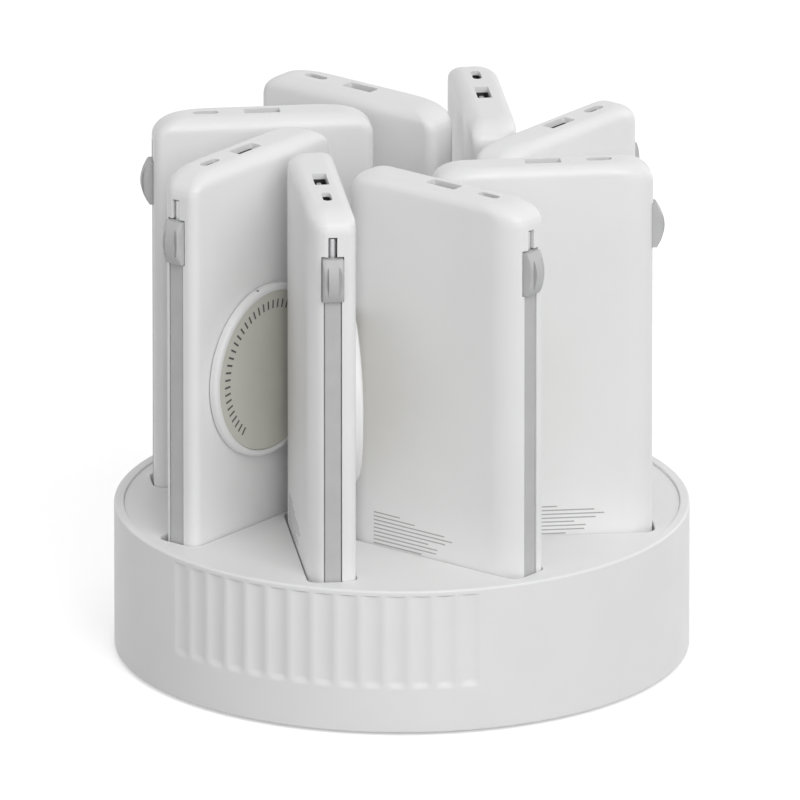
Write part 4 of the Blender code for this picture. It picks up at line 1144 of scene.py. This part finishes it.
def build_plug():
    half_height = PLUG_HEIGHT / 2.0
    middle = PLUG_FOOT + half_height
    rings = []
    for step in range(PLUG_STEPS + 1):
        along = 2.0 * step / PLUG_STEPS - 1.0
        rise = PLUG_RISE - (PLUG_RISE - PLUG_END_RISE) * along * along
        rings.append(ring_at(middle + half_height * along, plug_section(rise)))
    plug = made("plug", add_loft, rings)
    crest = PLUG_CREST / 2.0
    floor = HALF_WIDTH + PLUG_RISE - GRIP_DEPTH
    outer = floor + GRIP_REACH
    wide = crest + GRIP_REACH / math.tan(GRIP_SLOPE)
    for side in (-1.0, 1.0):
        outline = [(floor, side * crest), (outer, side * crest), (outer, side * wide)]
        cut(plug, add_prism, outline, PLUG_FOOT - CUT_MARGIN, PLUG_TOP + CUT_MARGIN)

    def end_edge(point):
        return min(abs(point.z - PLUG_FOOT), abs(point.z - PLUG_TOP)) < TOUCH

    round_edges(plug, PLUG_EDGE, end_edge)
    return shade(plug, sharp_angle=35.0)


def tip_outline(inset):
    half_y = TIP_THICKNESS / 2.0 - inset
    return slab_outline(TIP_WIDTH / 2.0 - inset, half_y, half_y, half_y, 8, PLUG_BACK + TIP_WIDTH / 2.0)


def build_tip():
    """Metal shell of the cable's connector, hollow at its free end."""
    low = PLUG_TOP - TIP_LAP
    levels = ((0.0, low), (0.0, TIP_TOP - TIP_EDGE), (TIP_EDGE / 2.0, TIP_TOP))
    tip = made("tip", add_loft, [ring_at(level, tip_outline(inset)) for inset, level in levels])
    cut(tip, add_prism, tip_outline(TIP_WALL), low + TIP_FLOOR, TIP_TOP + CUT_MARGIN)
    return shade(tip)


def build_strap(number):
    """Strap of one bank, in the scene's frame, with close sections where it bends."""
    place = PLACES[number]
    levels = [STRAP_FOOT, HINGE.z - BEND_LEAD]
    levels += [HINGE.z + BEND_LENGTH * step / BEND_STEPS for step in range(BEND_STEPS + 1)]
    levels += [PLUG_FOOT + STRAP_LAP]
    outline = slab_outline(STRAP_THICKNESS / 2.0, STRAP_WIDTH / 2.0, STRAP_EDGE, STRAP_EDGE, 4, HINGE.x)
    rings = [[place @ point for point in ring_at(level, outline)] for level in levels]
    strap = made(f"bank{number}_strap", add_loft, rings)
    strap.data.materials.append(GREY_STRAP)
    shade(strap, sharp_angle=60.0)
    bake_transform(strap)


def build_banks():
    cells, board = build_cells()
    contacts = shade(made("cap_contacts", add_pads, CAP_PAD, *CAP_PAD_LEVELS))
    mouth_a = BANK_TOP - USB_A_LIP
    mouth_c = BANK_TOP - USB_C_LIP
    can_a = build_can("can_a", USB_A_X, USB_A_SIZE, USB_A_CORNER, mouth_a)
    can_c = build_can("can_c", USB_C_X, USB_C_SIZE, USB_C_CORNER, mouth_c)
    tongue_a = build_tongue("tongue_a", USB_A_X, USB_A_SIZE, USB_A_TONGUE, mouth_a)
    tongue_c = build_tongue("tongue_c", USB_C_X, USB_C_SIZE, USB_C_TONGUE, mouth_c)
    ticks = lay_on_face(made("disc_ticks", add_ticks))
    templates = (
        ("housing", build_housing(), WHITE_BANK, "bank", "white_bank", "housing"),
        ("foot_cap", build_end_cap(), WHITE_BANK, "bank", "white_bank", "end_cap"),
        ("foot_contacts", contacts, GOLD, "bank", "cells", None),
        ("cells", cells, CELL_FOIL, "bank", "cells", "cell_pack"),
        ("circuit_board", board, BOARD_GREEN, "bank", "circuit_board", None),
        ("usb_a_can", can_a, SHADE_DARKENED_CAN_STEEL, "bank", "cells", None),
        ("usb_a_tongue", tongue_a, TONGUE, "bank", "black_plastic", None),
        ("usb_c_can", can_c, SHADE_DARKENED_CAN_STEEL, "bank", "cells", None),
        ("usb_c_tongue", tongue_c, BLACK_PLASTIC, "bank", "black_plastic", None),
        ("disc_ring", build_disc_ring(), WHITE_BANK, "bank", "white_bank", "disc"),
        ("disc_face", build_disc_face(), DISC_FACE, "bank", "disc_grey", None),
        ("disc_ticks", ticks, TICK_INK, "bank", "disc_grey", None),
        ("disc_leds", build_disc_lenses(), DARK_WINDOW, "bank", "black_plastic", None),
        ("rules", made("rules", add_rules), RULE_INK, "bank", "white_bank", None),
        ("button_cap", build_button(), WHITE_BUTTON, "button", "white_bank", "button"),
        ("plug", build_plug(), GREY_PLUG, "cable", "cable_grey", "cable"),
        ("plug_tip", build_tip(), PLUG_STEEL, "cable", "cells", None),
    )
    for number, place in PLACES.items():
        for name, template, material, body, slot, node in templates:
            replaced = [f"bank_{number}_{node}"] if node else []
            shift = RULE_SHIFTS.get(number, 0.0) if name == "rules" else 0.0
            spot = place @ Matrix.Translation((shift, 0.0, 0.0))
            put(template, f"bank{number}_{name}", spot, material, f"{body}_{number}", replaced)
        build_strap(number)
    for entry in templates:
        discard(entry[1])


def dress_hidden_nodes():
    """The board and the power module keep their solids and get their own finish."""
    for node, material in (("charging_board", BOARD_GREEN), ("power_module", BLACK_PLASTIC)):
        item = frame["nodes"][node]
        item.data.materials.clear()
        item.data.materials.append(material)


# Stage, lights and camera


FLOOR_RADIUS = 4.0
FLOOR_THICKNESS = 0.01
FLOOR_GLOW = 0.45
WORLD_LEVEL = 0.54
LAMP_TARGET = (0.0, 0.0, 0.09)
LAMP_SIZE = 1.3
LAMPS = (
    ("key", (0.69, -1.48, 1.24), 17.0),  # name, place, watts
    ("front_fill", (-0.98, -1.69, 0.51), 2.0),
    ("rear_fill", (1.50, 1.26, 0.51), 6.5),
)


def seen_directly(tree):
    """1 on camera, glossy and see-through rays, 0 on the rays that carry light to the object."""
    path = tree.nodes.new("ShaderNodeLightPath")
    most = path.outputs["Is Camera Ray"]
    for name in ("Is Glossy Ray", "Is Transmission Ray"):
        step = tree.nodes.new("ShaderNodeMath")
        step.operation = "MAXIMUM"
        tree.links.new(most, step.inputs[0])
        tree.links.new(path.outputs[name], step.inputs[1])
        most = step.outputs[0]
    return most


def build_stage():
    floor = made("floor", add_prism, circle_points(FLOOR_RADIUS, 96), -FLOOR_THICKNESS, 0.0)
    material, tree, shader, _ = new_material("floor_paper")
    shader.inputs["Roughness"].default_value = 0.9
    shader.inputs["Specular IOR Level"].default_value = 0.1
    glow = tree.nodes.new("ShaderNodeEmission")
    total = tree.nodes.new("ShaderNodeAddShader")
    seen = seen_directly(tree)
    tree.links.new(add_range(tree, seen, 0.0, FLOOR_GLOW, (0.0, 1.0)), glow.inputs["Strength"])
    tint = add_tint(tree, seen, (0.45, 0.45, 0.45), (0.9, 0.9, 0.9))
    tree.links.new(tint, shader.inputs["Base Color"])
    output = tree.nodes["Material Output"]
    tree.links.new(shader.outputs["BSDF"], total.inputs[0])
    tree.links.new(glow.outputs["Emission"], total.inputs[1])
    tree.links.new(total.outputs[0], output.inputs["Surface"])
    floor.data.materials.append(material)


def build_world():
    world = bpy.data.worlds.new("studio")
    bpy.context.scene.world = world
    world.use_nodes = True
    tree = world.node_tree
    background = tree.nodes["Background"]
    background.inputs["Color"].default_value = (1.0, 1.0, 1.0, 1.0)
    level = add_range(tree, seen_directly(tree), WORLD_LEVEL, 1.0, (0.0, 1.0))
    tree.links.new(level, background.inputs["Strength"])


def add_area_light(name, place, power):
    data = bpy.data.lights.new(name, "AREA")
    data.shape = "RECTANGLE"
    data.size = LAMP_SIZE
    data.size_y = LAMP_SIZE
    data.energy = power
    item = linked(bpy.data.objects.new(name, data))
    item.location = place
    direction = Vector(LAMP_TARGET) - Vector(place)
    item.rotation_euler = direction.to_track_quat("-Z", "Y").to_euler()


def build_camera():
    lens = 1680.0
    sensor = 36.0
    frame_width = 0.2776
    elevation = math.radians(18.43)
    target = Vector((-0.00067, 0.0, 0.08897))
    distance = frame_width * lens / sensor
    data = bpy.data.cameras.new("camera")
    data.lens = lens
    data.sensor_width = sensor
    data.clip_start = 0.1
    data.clip_end = 100.0
    camera = linked(bpy.data.objects.new("camera", data))
    back = Vector((0.0, -math.cos(elevation), math.sin(elevation)))
    camera.location = target + back * distance
    camera.rotation_euler = (-back).to_track_quat("-Z", "Y").to_euler()
    bpy.context.scene.camera = camera


def build_studio():
    build_stage()
    build_world()
    for lamp in LAMPS:
        add_area_light(*lamp)
    build_camera()
    bpy.context.scene.view_settings.view_transform = "Standard"


build_drum()
build_deck()
build_bottom_cover()
build_feet()
build_inlet()
build_banks()
dress_hidden_nodes()
build_studio()
